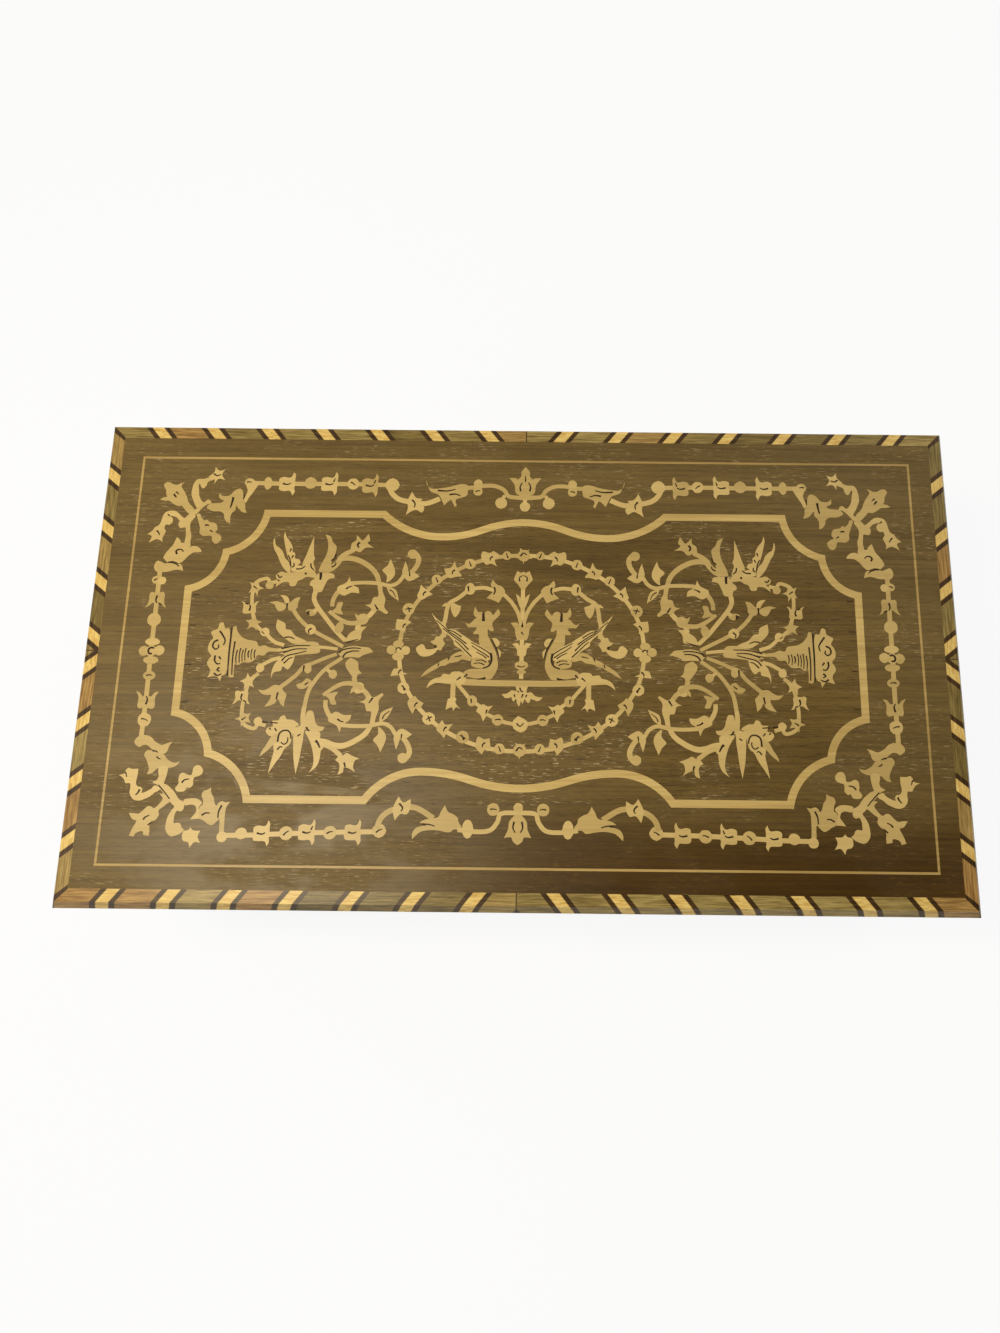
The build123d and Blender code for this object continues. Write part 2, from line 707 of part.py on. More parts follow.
# Mirror in a moulded frame on the underside of the lid, with a padded lining round it
frame_length = mirror_length + 2 * (mirror_frame_width - mirror_lip)
frame_width = mirror_width + 2 * (mirror_frame_width - mirror_lip)
frame_z = lid_z - mirror_frame_height
with BuildPart() as mirror:
    with Locations((0, 0, lid_z - mirror_thickness)):
        Box(mirror_length - 2 * seat, mirror_width - 2 * seat, mirror_thickness,
            align=(Align.CENTER, Align.CENTER, Align.MIN))
mirror.part.label = "mirror"
export_step(mirror.part, "parts/mirror.step")

with BuildSketch() as frame_section:
    with BuildLine():
        Polyline((0, frame_z + mirror_frame_round), (0, lid_z), (mirror_frame_width - mirror_lip, lid_z),
                 (mirror_frame_width - mirror_lip, lid_z - mirror_thickness),
                 (mirror_frame_width, lid_z - mirror_thickness),
                 (mirror_frame_width, lid_z - mirror_thickness - 1),
                 (mirror_frame_width - mirror_frame_round * 1.6, frame_z), (mirror_frame_round, frame_z))
        RadiusArc((mirror_frame_round, frame_z), (0, frame_z + mirror_frame_round), mirror_frame_round)
    make_face()
mirror_frame = Compound(label="mirror_frame", children=mitred_frame(frame_length, frame_width, frame_section.sketch))
export_step(mirror_frame, "parts/mirror_frame.step")

with BuildPart() as lid_lining:
    with Locations((0, 0, lid_z)):
        Box(2 * (inner_x - part_gap), 2 * (inner_y - part_gap), lid_lining_thickness,
            align=(Align.CENTER, Align.CENTER, Align.MAX))
        Box(frame_length + 2 * part_gap, frame_width + 2 * part_gap, 2 * lid_lining_thickness, mode=Mode.SUBTRACT)
lid_lining.part.label = "lid_lining"
export_step(lid_lining.part, "parts/lid_lining.step")

# Movement levels and gear radii
wheel_z = bed_top_z + wheel_disc_gap
wheel_top_z = wheel_z + wheel_disc_thickness
contrate_radius = contrate_module * contrate_teeth / 2
pinion_radius = contrate_module * pinion_teeth / 2
contrate_root = 1.2 * contrate_module
tooth_top = 0.7 * contrate_module
contrate_plane_z = wheel_top_z + contrate_root
train_z = contrate_plane_z + pinion_radius
drum_radius = contrate_radius - contrate_face / 2 - drum_gap
drum_top_z = wheel_top_z + drum_height
cylinder_wheel_radius = train_module * cylinder_wheel_teeth / 2
second_pinion_radius = train_module * second_pinion_teeth / 2
second_y = train_y + cylinder_wheel_radius + second_pinion_radius
worm_wheel_radius = worm_module * worm_wheel_teeth / 2
worm_y = second_y + worm_wheel_radius + worm_pitch_radius

# Places along the cylinder arbor
pinion_x = barrel_x + contrate_radius
left_bearing_x = pinion_x + pinion_width / 2 + 0.9
cylinder_x = left_bearing_x + plate_thickness + 1.0
cylinder_end_x = cylinder_x + cylinder_length
cylinder_wheel_x = cylinder_end_x
right_bearing_x = cylinder_wheel_x + cylinder_wheel_width + 1.0
worm_x = right_bearing_x + plate_thickness + 2.25
outer_bearing_x = worm_x + worm_pitch_radius + 1.5
bearing_height = train_z + 4.0 - bed_top_z

# Bedplate on four pillars, screwed up through the bottom board
with BuildPart() as movement_bedplate:
    with Locations((bed_x, bed_y, bed_z)):
        Box(bedplate_length, bedplate_width, bedplate_thickness, align=Align.MIN)
    fillet(movement_bedplate.edges().filter_by(Axis.Z), 2.5)
    with Locations(*bed_screw_places):
        Cylinder(bed_screw_radius + screw_gap, 2 * lid_top_z, mode=Mode.SUBTRACT)
    with Locations((barrel_x, train_y)):
        Cylinder(winding_arbor_radius + fit, 2 * lid_top_z, mode=Mode.SUBTRACT)
    with Locations((worm_x, worm_y, bed_top_z)):
        Cylinder(worm_arbor_radius + fit, plate_thickness, align=(Align.CENTER, Align.CENTER, Align.MAX),
                 mode=Mode.SUBTRACT)
movement_bedplate.part.label = "movement_bedplate"
export_step(movement_bedplate.part, "parts/movement_bedplate.step")

with BuildPart() as movement_pillars:
    with Locations(*[(x, y, floor_z) for x, y in bed_screw_places]):
        Cylinder(pillar_radius, pillar_height, align=(Align.CENTER, Align.CENTER, Align.MIN))
        Cylinder(bed_screw_radius + part_gap, 4 * pillar_height, mode=Mode.SUBTRACT)
movement_pillars.part.label = "movement_pillars"
export_step(movement_pillars.part, "parts/movement_pillars.step")

with BuildPart() as movement_screws:
    with Locations(*[(x, y, bottom_z) for x, y in bed_screw_places]):
        Cylinder(2.2 * bed_screw_radius, 1.5, align=(Align.CENTER, Align.CENTER, Align.MAX))
        Cylinder(bed_screw_radius, bed_top_z - bottom_z - 0.5, align=(Align.CENTER, Align.CENTER, Align.MIN))
movement_screws.part.label = "movement_screws"
export_step(movement_screws.part, "parts/movement_screws.step")

# Great wheel: a brass disc with a ring of upright teeth that drives the pinion at a right angle
contrate_pitch = pi * contrate_module
tooth_half = 0.18 * contrate_pitch
with BuildPart() as contrate_tooth:
    with BuildSketch(Plane.YZ.offset(contrate_radius - contrate_face / 2)):
        Polygon((-tooth_half - 0.3, wheel_top_z - 0.2), (tooth_half + 0.3, wheel_top_z - 0.2),
                (tooth_half - 0.35, contrate_plane_z + tooth_top), (0.35 - tooth_half, contrate_plane_z + tooth_top),
                align=None)
    extrude(amount=contrate_face - fit)
with BuildPart() as great_wheel:
    with Locations((barrel_x, train_y, wheel_z)):
        Cylinder(contrate_radius + contrate_face / 2, wheel_disc_thickness,
                 align=(Align.CENTER, Align.CENTER, Align.MIN))
    with Locations((barrel_x, train_y)):
        with PolarLocations(0, contrate_teeth, start_angle=180 / contrate_teeth):
            add(contrate_tooth.part)
        Cylinder(winding_arbor_radius + fit, 2 * lid_top_z, mode=Mode.SUBTRACT)
great_wheel.part.label = "great_wheel"
export_step(great_wheel.part, "parts/great_wheel.step")

# Spring drum: the mainspring's closed barrel, with a lipped cap
with BuildPart() as spring_drum:
    with Locations((barrel_x, train_y, wheel_top_z)):
        Cylinder(drum_radius, drum_height, align=(Align.CENTER, Align.CENTER, Align.MIN))
    chamfer(spring_drum.edges().group_by(Axis.Z)[-1], 0.6)
    with Locations((barrel_x, train_y, drum_top_z)):
        Cylinder(drum_radius - 2, 1.2, mode=Mode.SUBTRACT)
        Cylinder(winding_arbor_radius + fit, 4 * drum_height, mode=Mode.SUBTRACT)
spring_drum.part.label = "spring_drum"
export_step(spring_drum.part, "parts/spring_drum.step")

# Barrel bridge: a brass strap over the drum that steadies the top of the winding arbor
bridge_z = drum_top_z + 0.8
bridge_post_y = contrate_radius + contrate_face / 2 + 1.2
with BuildPart() as barrel_bridge:
    with Locations((barrel_x, train_y, bridge_z)):
        Box(bridge_width, 2 * (bridge_post_y + bridge_post), plate_thickness,
            align=(Align.CENTER, Align.CENTER, Align.MIN))
    for side in (-1, 1):
        with Locations((barrel_x, train_y + side * (bridge_post_y + bridge_post / 2), bed_top_z)):
            Box(bridge_width, bridge_post, bridge_z - bed_top_z, align=(Align.CENTER, Align.CENTER, Align.MIN))
    with Locations((barrel_x, train_y, bridge_z)):
        Cylinder(winding_arbor_radius + fit, 4 * plate_thickness, mode=Mode.SUBTRACT)
barrel_bridge.part.label = "barrel_bridge"
export_step(barrel_bridge.part, "parts/barrel_bridge.step")

# Winding arbor and its butterfly key under the box
key_z = plinth_z - key_height / 2 + 2.5
hub_top_z = bottom_z - 1.5
arbor_z = hub_top_z - 9.0
with BuildPart() as winding_arbor:
    with Locations((barrel_x, train_y, arbor_z)):
        Cylinder(winding_arbor_radius, bridge_z + plate_thickness + 0.6 - arbor_z,
                 align=(Align.CENTER, Align.CENTER, Align.MIN))
winding_arbor.part.label = "winding_arbor"
export_step(winding_arbor.part, "parts/winding_arbor.step")

with BuildPart() as winding_key:
    with Locations((barrel_x, train_y, key_z)):
        Cylinder(key_hub_radius, hub_top_z - key_z, align=(Align.CENTER, Align.CENTER, Align.MIN))
    with BuildSketch(Plane(origin=(barrel_x, train_y, key_z), x_dir=(1, 0, 0), z_dir=(0, -1, 0))):
        for side in (-1, 1):
            with Locations((side * (key_reach - key_wing_radius), key_wing_radius)):
                Circle(key_wing_radius)
                Circle(key_wing_radius / 2.4, mode=Mode.SUBTRACT)
        with Locations((0, key_wing_radius)):
            Rectangle(key_reach - key_wing_radius, key_wing_radius)
    extrude(amount=key_thickness / 2, both=True)
    with Locations((barrel_x, train_y, arbor_z)):
        Cylinder(winding_arbor_radius + screw_gap, 2 * key_height, align=(Align.CENTER, Align.CENTER, Align.MIN),
                 mode=Mode.SUBTRACT)
winding_key.part.label = "winding_key"
export_step(winding_key.part, "parts/winding_key.step")

# Cylinder arbor with the driven pinion cut in one piece
with BuildPart() as cylinder_arbor:
    with BuildSketch(Plane(origin=(pinion_x - pinion_width / 2, train_y, train_z), x_dir=(0, 1, 0),
                           z_dir=(1, 0, 0))):
        add(gear_outline(pinion_teeth, pinion_radius - contrate_root + 0.2, pinion_radius + tooth_top,
                         0.72, 0.24))
    extrude(amount=pinion_width)
    with Locations((pinion_x - pinion_width, train_y, train_z)):
        Cylinder(cylinder_arbor_radius, right_bearing_x + plate_thickness + 0.5 - pinion_x + pinion_width,
                 rotation=(0, 90, 0), align=(Align.CENTER, Align.CENTER, Align.MIN))
cylinder_arbor.part.label = "cylinder_arbor"
export_step(cylinder_arbor.part, "parts/cylinder_arbor.step")

with BuildPart() as cylinder:
    with BuildSketch(Plane(origin=(cylinder_x, train_y, train_z), x_dir=(0, 1, 0), z_dir=(1, 0, 0))):
        Circle(cylinder_radius)
        Circle(cylinder_arbor_radius + seat, mode=Mode.SUBTRACT)
    extrude(amount=cylinder_length)
    chamfer(cylinder.edges().filter_by(GeomType.CIRCLE).sort_by(SortBy.RADIUS)[-2:], 0.3)
cylinder.part.label = "cylinder"
export_step(cylinder.part, "parts/cylinder.step")

with BuildPart() as cylinder_wheel:
    with BuildSketch(Plane(origin=(cylinder_wheel_x, train_y, train_z), x_dir=(0, 1, 0), z_dir=(1, 0, 0))):
        add(gear_outline(cylinder_wheel_teeth, cylinder_wheel_radius - 0.62, cylinder_wheel_radius + 0.42,
                         0.42, 0.16))
        Circle(cylinder_arbor_radius + seat, mode=Mode.SUBTRACT)
    extrude(amount=cylinder_wheel_width)
cylinder_wheel.part.label = "cylinder_wheel"
export_step(cylinder_wheel.part, "parts/cylinder_wheel.step")

# Second arbor with its small pinion, and the worm wheel on it
with BuildPart() as second_arbor:
    with BuildSketch(Plane(origin=(cylinder_wheel_x - 0.2, second_y, train_z), x_dir=(0, 1, 0),
                           z_dir=(1, 0, 0))):
        add(gear_outline(second_pinion_teeth, second_pinion_radius - 0.62, second_pinion_radius + 0.38,
                         0.34, 0.14, first_tooth=180 / second_pinion_teeth))
    extrude(amount=cylinder_wheel_width + 0.4)
    with Locations((cylinder_wheel_x - 0.7, second_y, train_z)):
        Cylinder(second_arbor_radius, outer_bearing_x + plate_thickness + 0.5 - cylinder_wheel_x + 0.7,
                 rotation=(0, 90, 0), align=(Align.CENTER, Align.CENTER, Align.MIN))
second_arbor.part.label = "second_arbor"
export_step(second_arbor.part, "parts/second_arbor.step")

with BuildPart() as worm_wheel:
    with BuildSketch(Plane(origin=(worm_x - worm_wheel_width / 2, second_y, train_z), x_dir=(0, 1, 0),
                           z_dir=(1, 0, 0))):
        add(gear_outline(worm_wheel_teeth, worm_wheel_radius - 0.7, worm_wheel_radius + 0.5, 0.4, 0.16))
        Circle(second_arbor_radius + seat, mode=Mode.SUBTRACT)
    extrude(amount=worm_wheel_width)
worm_wheel.part.label = "worm_wheel"
export_step(worm_wheel.part, "parts/worm_wheel.step")

# Governor: an upright worm with a two-winged fan on top, which the air slows
worm_lead = pi * worm_module
worm_start_z = train_z - worm_lead * (int(worm_turns / 2) + 0.25)
worm_core = worm_pitch_radius - 0.65
fan_z = bed_top_z + bearing_height + 5.0
with BuildPart() as worm_thread:
    with BuildLine():
        Helix(worm_lead, worm_turns * worm_lead, worm_core)
    with BuildSketch(Plane.XZ):
        Polygon((worm_core - 0.25, -0.46), (worm_pitch_radius + 0.5, -0.18), (worm_pitch_radius + 0.5, 0.18),
                (worm_core - 0.25, 0.46), align=None)
    sweep(is_frenet=True)
with BuildPart() as governor_worm:
    with Locations((worm_x, worm_y, bed_top_z - plate_thickness + 0.2)):
        Cylinder(worm_arbor_radius, fan_z + fan_height + 0.4 - bed_top_z + plate_thickness,
                 align=(Align.CENTER, Align.CENTER, Align.MIN))
    with Locations((worm_x, worm_y, worm_start_z - 0.6)):
        Cylinder(worm_core, worm_turns * worm_lead + 1.2, align=(Align.CENTER, Align.CENTER, Align.MIN))
    with Locations((worm_x, worm_y, worm_start_z)):
        add(worm_thread.part)
governor_worm.part.label = "governor_worm"
export_step(governor_worm.part, "parts/governor_worm.step")

with BuildPart() as governor_fan:
    with Locations((worm_x, worm_y, fan_z)):
        Cylinder(2 * worm_arbor_radius, fan_height, align=(Align.CENTER, Align.CENTER, Align.MIN))
        Box(2 * fan_radius, 0.5, fan_height, align=(Align.CENTER, Align.CENTER, Align.MIN))
    fillet(governor_fan.edges().filter_by(Axis.Y), 1.0)
    with Locations((worm_x, worm_y, fan_z)):
        Cylinder(worm_arbor_radius + seat, 4 * fan_height, mode=Mode.SUBTRACT)
governor_fan.part.label = "governor_fan"
export_step(governor_fan.part, "parts/governor_fan.step")

# Bearings of the cylinder, upright plates with a foot on the bedplate
def bearing_plate(left_x, front, back, holes):
    """An upright plate along Y with a foot to its right; holes are (y, radius) on the train's level."""
    with BuildPart() as plate:
        with Locations((left_x, front, bed_top_z)):
            Box(plate_thickness, back - front, bearing_height, align=Align.MIN)
        fillet(plate.edges().filter_by(Axis.X).group_by(Axis.Z)[-1], 2.0)
        with Locations((left_x, front, bed_top_z)):
            Box(plate_thickness + bearing_foot, back - front, plate_thickness, align=Align.MIN)
        for hole_y, radius in holes:
            with Locations((left_x, hole_y, train_z)):
                Cylinder(radius, 4 * plate_thickness, rotation=(0, 90, 0), mode=Mode.SUBTRACT)
    return plate.part


left_bearing = bearing_plate(left_bearing_x, train_y - bearing_half_width, train_y + bearing_half_width,
                             [(train_y, cylinder_arbor_radius + fit)])
right_bearing = bearing_plate(right_bearing_x, train_y - bearing_half_width, second_y + bearing_half_width / 2,
                              [(train_y, cylinder_arbor_radius + fit), (second_y, second_arbor_radius + fit)])
cylinder_bearings = Compound(label="cylinder_bearings", children=[left_bearing, right_bearing])
export_step(cylinder_bearings, "parts/cylinder_bearings.step")

# Governor bracket: an upright plate with an arm over the worm
bracket_top_z = bed_top_z + bearing_height + 3.5
with BuildPart() as governor_bracket:
    with Locations((outer_bearing_x, second_y - bracket_reach, bed_top_z)):
        Box(plate_thickness, worm_y - second_y + 2 * bracket_reach, bracket_top_z - bed_top_z, align=Align.MIN)
    with Locations((outer_bearing_x + plate_thickness, worm_y, bracket_top_z)):
        Box(outer_bearing_x + plate_thickness - worm_x + 2, 2 * worm_pitch_radius + 2, plate_thickness,
            align=(Align.MAX, Align.CENTER, Align.MAX))
    with Locations((outer_bearing_x, second_y, train_z)):
        Cylinder(second_arbor_radius + fit, 4 * plate_thickness, rotation=(0, 90, 0), mode=Mode.SUBTRACT)
    with Locations((worm_x, worm_y, bracket_top_z)):
        Cylinder(worm_arbor_radius + fit, 4 * plate_thickness, mode=Mode.SUBTRACT)
governor_bracket.part.label = "governor_bracket"
export_step(governor_bracket.part, "parts/governor_bracket.step")

# Comb: one steel plate slit into teeth, screwed down on a brass rest
comb_tip_y = train_y - cylinder_radius - pin_reach
comb_root_y = comb_tip_y - comb_tooth_length
comb_base_y = comb_root_y - comb_base_width
comb_z = train_z - comb_thickness / 2
comb_middle_x = cylinder_x + cylinder_length / 2
comb_half = comb_teeth * comb_pitch / 2
comb_screw_places = [(comb_middle_x + dx, comb_base_y + comb_base_width / 2)
                     for dx in (-comb_screw_pitch, 0, comb_screw_pitch)]
with BuildPart() as comb:
    with BuildSketch(Plane.XY.offset(comb_z)):
        with Locations((comb_middle_x, comb_base_y)):
            Rectangle(2 * (comb_half + comb_side), comb_base_width, align=(Align.CENTER, Align.MIN))
        with Locations((comb_middle_x, comb_root_y)):
            Rectangle(2 * comb_half, comb_tooth_length, align=(Align.CENTER, Align.MIN))
        for slot in range(1, comb_teeth):
            with Locations((comb_middle_x - comb_half + slot * comb_pitch, comb_root_y)):
                Rectangle(comb_slot, 2 * comb_tooth_length, align=(Align.CENTER, Align.MIN), mode=Mode.SUBTRACT)
        with Locations(*comb_screw_places):
            Circle(comb_screw_radius + screw_gap, mode=Mode.SUBTRACT)
    extrude(amount=comb_thickness)
comb.part.label = "comb"
export_step(comb.part, "parts/comb.step")

with BuildPart() as comb_rest:
    with Locations((comb_middle_x, comb_base_y + 0.4, bed_top_z)):
        Box(2 * (comb_half + comb_side) - 1, comb_base_width - 0.8, comb_z - bed_top_z,
            align=(Align.CENTER, Align.MIN, Align.MIN))
    with Locations(*[(x, y, comb_z) for x, y in comb_screw_places]):
        Cylinder(comb_screw_radius + screw_gap, 14, mode=Mode.SUBTRACT)
comb_rest.part.label = "comb_rest"
export_step(comb_rest.part, "parts/comb_rest.step")

with BuildPart() as comb_screws:
    with Locations(*[(x, y, comb_z + comb_thickness) for x, y in comb_screw_places]):
        Cylinder(1.8 * comb_screw_radius, 1.6, align=(Align.CENTER, Align.CENTER, Align.MIN))
        Cylinder(comb_screw_radius, 6 + comb_thickness, align=(Align.CENTER, Align.CENTER, Align.MAX))
comb_screws.part.label = "comb_screws"
export_step(comb_screws.part, "parts/comb_screws.step")

# Stop rod: the lid holds it down; its arm stands beside the fan
stop_y = worm_y + stop_reach
stop_top_z = lid_z - lid_lining_thickness - part_gap
guide_z = bed_top_z + guide_height
with BuildPart() as stop_pin:
    with Locations((worm_x, stop_y, guide_z - stop_travel - 1.5)):
        Cylinder(stop_rod_radius, stop_top_z - guide_z + stop_travel + 1.5,
                 align=(Align.CENTER, Align.CENTER, Align.MIN))
    with Locations((worm_x, worm_y + fan_radius + 0.4, fan_z + fan_height / 2)):
        Box(stop_arm, stop_reach - fan_radius - 0.4 + stop_rod_radius, stop_arm,
            align=(Align.CENTER, Align.MIN, Align.MIN))
stop_pin.part.label = "stop_pin"
export_step(stop_pin.part, "parts/stop_pin.step")

bed_back_y = bed_y + bedplate_width
with BuildPart() as stop_guide:
    with Locations((worm_x, bed_back_y, bed_top_z)):
        Box(guide_post, guide_post, guide_z + plate_thickness - bed_top_z,
            align=(Align.CENTER, Align.MAX, Align.MIN))
    with Locations((worm_x, bed_back_y - guide_post, guide_z)):
        Box(guide_post, stop_y + guide_post / 2 - bed_back_y + guide_post, plate_thickness,
            align=(Align.CENTER, Align.MIN, Align.MIN))
    with Locations((worm_x, stop_y, guide_z)):
        Cylinder(stop_rod_radius + fit, 4 * plate_thickness, mode=Mode.SUBTRACT)
stop_guide.part.label = "stop_guide"
export_step(stop_guide.part, "parts/stop_guide.step")

# Cover over the movement: a frame with a glass, resting on the partitions and two battens
cover_z = partition_top_z
cover_x0, cover_x1 = partition_x + seat, lined_x - seat
cover_y0, cover_y1 = partition_y + seat, lined_y - seat
cover_middle = ((cover_x0 + cover_x1) / 2, (cover_y0 + cover_y1) / 2)
window_x = cover_x1 - cover_x0 - 2 * cover_border
window_y = cover_y1 - cover_y0 - 2 * cover_border
with BuildPart() as cover_frame:
    with BuildSketch(Plane.XY.offset(cover_z)):
        with Locations(cover_middle):
            Rectangle(cover_x1 - cover_x0, cover_y1 - cover_y0)
            Rectangle(window_x, window_y, mode=Mode.SUBTRACT)
        with Locations((worm_x, stop_y)):
            Circle(stop_rod_radius + fit, mode=Mode.SUBTRACT)
    extrude(amount=cover_thickness)
    with Locations((*cover_middle, cover_z + cover_thickness)):
        Box(window_x + 2 * glass_rebate, window_y + 2 * glass_rebate, 2 * glass_thickness, mode=Mode.SUBTRACT)
cover_frame.part.label = "cover_frame"
export_step(cover_frame.part, "parts/cover_frame.step")

with BuildPart() as cover_glass:
    with Locations((*cover_middle, cover_z + cover_thickness)):
        Box(window_x + 2 * glass_rebate - 2 * seat, window_y + 2 * glass_rebate - 2 * seat, glass_thickness,
            align=(Align.CENTER, Align.CENTER, Align.MAX))
cover_glass.part.label = "cover_glass"
export_step(cover_glass.part, "parts/cover_glass.step")

with BuildPart() as cover_battens:
    with Locations((music_x + seat, lined_y, cover_z)):
        Box(music_length - 2 * seat, batten_width, batten_height, align=(Align.MIN, Align.MAX, Align.MAX))
    with Locations((lined_x, music_y + seat, cover_z)):
        Box(batten_width, music_width - batten_width - 2 * seat, batten_height,
            align=(Align.MAX, Align.MIN, Align.MAX))
cover_battens.part.label = "cover_battens"
export_step(cover_battens.part, "parts/cover_battens.step")
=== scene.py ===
"""Musical jewelry box: the looks of the walnut case, the inlaid lid, the lining and the movement.

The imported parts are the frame, in metres: +X to the right, -Y the front, +Z up.
"""

from itertools import count
from math import cos, hypot, pi, radians, sin
from random import Random

import bpy
from mathutils import Matrix, Vector


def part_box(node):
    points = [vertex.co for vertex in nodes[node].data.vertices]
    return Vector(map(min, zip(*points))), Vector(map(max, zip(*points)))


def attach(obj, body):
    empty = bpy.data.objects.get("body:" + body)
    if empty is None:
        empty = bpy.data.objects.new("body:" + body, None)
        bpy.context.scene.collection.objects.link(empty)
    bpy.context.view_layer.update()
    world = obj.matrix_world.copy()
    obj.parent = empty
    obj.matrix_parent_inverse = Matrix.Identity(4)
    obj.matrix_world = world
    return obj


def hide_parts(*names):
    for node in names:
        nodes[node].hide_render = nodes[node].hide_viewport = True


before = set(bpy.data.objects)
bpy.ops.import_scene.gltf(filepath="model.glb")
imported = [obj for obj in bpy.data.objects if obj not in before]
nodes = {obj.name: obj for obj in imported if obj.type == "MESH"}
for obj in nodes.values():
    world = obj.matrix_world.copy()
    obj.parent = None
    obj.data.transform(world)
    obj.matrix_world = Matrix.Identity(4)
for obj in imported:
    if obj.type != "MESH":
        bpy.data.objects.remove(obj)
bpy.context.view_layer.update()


# Case walls
# Four boards of black walnut, mitred at the corners and glued, with the grain running round the box.
# They are lacquered to a satin finish, so the pores still show as short dark dashes.
mm = 0.001
walnut_pale = (0.235, 0.145, 0.062, 1.0)
walnut_deep = (0.115, 0.064, 0.026, 1.0)
walnut_pore = (0.035, 0.018, 0.008, 1.0)
walnut_pore_amount = 0.6
walnut_roughness = 0.38
lacquer_gloss = 0.2
pore_depth = 0.05 * mm


def deselect_all():
    """Leaves nothing selected, because operators act on all that is."""
    if bpy.context.object and bpy.context.object.mode != "OBJECT":
        bpy.ops.object.mode_set(mode="OBJECT")
    bpy.ops.object.select_all(action="DESELECT")


def add_node(tree, kind, at, **settings):
    """A shader node at a place on the sheet, with its properties set."""
    node = tree.nodes.new(kind)
    node.location = at
    for key, value in settings.items():
        setattr(node, key, value)
    return node


def group_sheet(name, inputs, outputs):
    """A new node group with its named sockets: (tree, input node, output node)."""
    tree = bpy.data.node_groups.new(name, "ShaderNodeTree")
    for label, kind, value in inputs:
        socket = tree.interface.new_socket(name=label, in_out="INPUT", socket_type=kind)
        if value is not None:
            socket.default_value = value
    for label, kind in outputs:
        tree.interface.new_socket(name=label, in_out="OUTPUT", socket_type=kind)
    return tree, add_node(tree, "NodeGroupInput", (-1200, 0)), add_node(tree, "NodeGroupOutput", (900, 0))


def stretched_noise(tree, vector, stretch, at, detail=3.0, rough=0.6, offset=(0.0, 0.0, 0.0)):
    """Noise drawn out along the grain: its value at each point."""
    placed = add_node(tree, "ShaderNodeMapping", at)
    placed.inputs["Scale"].default_value = stretch
    placed.inputs["Location"].default_value = offset
    noise = add_node(tree, "ShaderNodeTexNoise", (at[0] + 180, at[1]))
    noise.inputs["Scale"].default_value = 1.0
    noise.inputs["Detail"].default_value = detail
    noise.inputs["Roughness"].default_value = rough
    tree.links.new(vector, placed.inputs["Vector"])
    tree.links.new(placed.outputs["Vector"], noise.inputs["Vector"])
    return noise.outputs["Fac"]


def ramp(tree, value, low, high, at):
    """0 below low, 1 above high, with a soft step between."""
    step = add_node(tree, "ShaderNodeMapRange", at, interpolation_type="SMOOTHSTEP")
    step.inputs["From Min"].default_value = low
    step.inputs["From Max"].default_value = high
    tree.links.new(value, step.inputs["Value"])
    return step.outputs["Result"]


def blend_colour(tree, mask, first, second, at, mode="MIX"):
    """The first colour where the mask is 0 and the second where it is 1."""
    mix = add_node(tree, "ShaderNodeMix", at, data_type="RGBA", blend_type=mode)
    for value, socket in ((mask, mix.inputs[0]), (first, mix.inputs[6]), (second, mix.inputs[7])):
        if isinstance(value, (float, tuple)):
            socket.default_value = value
        else:
            tree.links.new(value, socket)
    return mix.outputs[2]


def sum_of(tree, kind, first, second, at):
    """A Math node on two values."""
    node = add_node(tree, "ShaderNodeMath", at, operation=kind)
    for value, socket in ((first, node.inputs[0]), (second, node.inputs[1])):
        if isinstance(value, float):
            socket.default_value = value
        elif value is not None:
            tree.links.new(value, socket)
    return node.outputs[0]


def spread(tree, value, low, high, at):
    """The value's span from 0 to 1 laid over the span from low to high."""
    span = add_node(tree, "ShaderNodeMapRange", at)
    span.inputs["To Min"].default_value = low
    span.inputs["To Max"].default_value = high
    tree.links.new(value, span.inputs["Value"])
    return span.outputs["Result"]


def emboss(tree, shader, height, strength, depth, at):
    """Bumps on the surface by a height value."""
    bump = add_node(tree, "ShaderNodeBump", at)
    bump.inputs["Strength"].default_value = strength
    bump.inputs["Distance"].default_value = depth
    tree.links.new(height, bump.inputs["Height"])
    tree.links.new(bump.outputs["Normal"], shader.inputs["Normal"])


# The figure of a sawn board: growth bands, fine streaks and pores, all drawn out along X
figure, figure_in, figure_out = group_sheet(
    "wood figure",
    (("Vector", "NodeSocketVector", None),
     ("Pale", "NodeSocketColor", walnut_pale),
     ("Deep", "NodeSocketColor", walnut_deep),
     ("Pore", "NodeSocketColor", walnut_pore),
     ("Pore Amount", "NodeSocketFloat", walnut_pore_amount)),
    (("Color", "NodeSocketColor"), ("Pores", "NodeSocketFloat"), ("Height", "NodeSocketFloat")),
)
along = figure_in.outputs["Vector"]
band_noise = stretched_noise(figure, along, (5.0, 55.0, 55.0), (-900, 300), 5.0, 0.65)
bands = ramp(figure, band_noise, 0.3, 0.7, (-500, 300))
streaks = stretched_noise(figure, along, (20.0, 800.0, 800.0), (-900, 60), 4.0, 0.7)
pore_noise = stretched_noise(figure, along, (190.0, 3200.0, 3200.0), (-900, -180), 2.0, 0.5)
pores = ramp(figure, pore_noise, 0.55, 0.66, (-500, -180))
board = blend_colour(figure, bands, figure_in.outputs["Pale"], figure_in.outputs["Deep"], (-280, 260))
streak_tone = ramp(figure, streaks, 0.25, 0.75, (-500, 60))
streaked = blend_colour(figure, 0.26, board, streak_tone, (-60, 200), "SOFT_LIGHT")
pore_mask = sum_of(figure, "MULTIPLY", pores, figure_in.outputs["Pore Amount"], (-280, -180))
figured = blend_colour(figure, pore_mask, streaked, figure_in.outputs["Pore"], (160, 120))
figure.links.new(figured, figure_out.inputs["Color"])
figure.links.new(pore_mask, figure_out.inputs["Pores"])
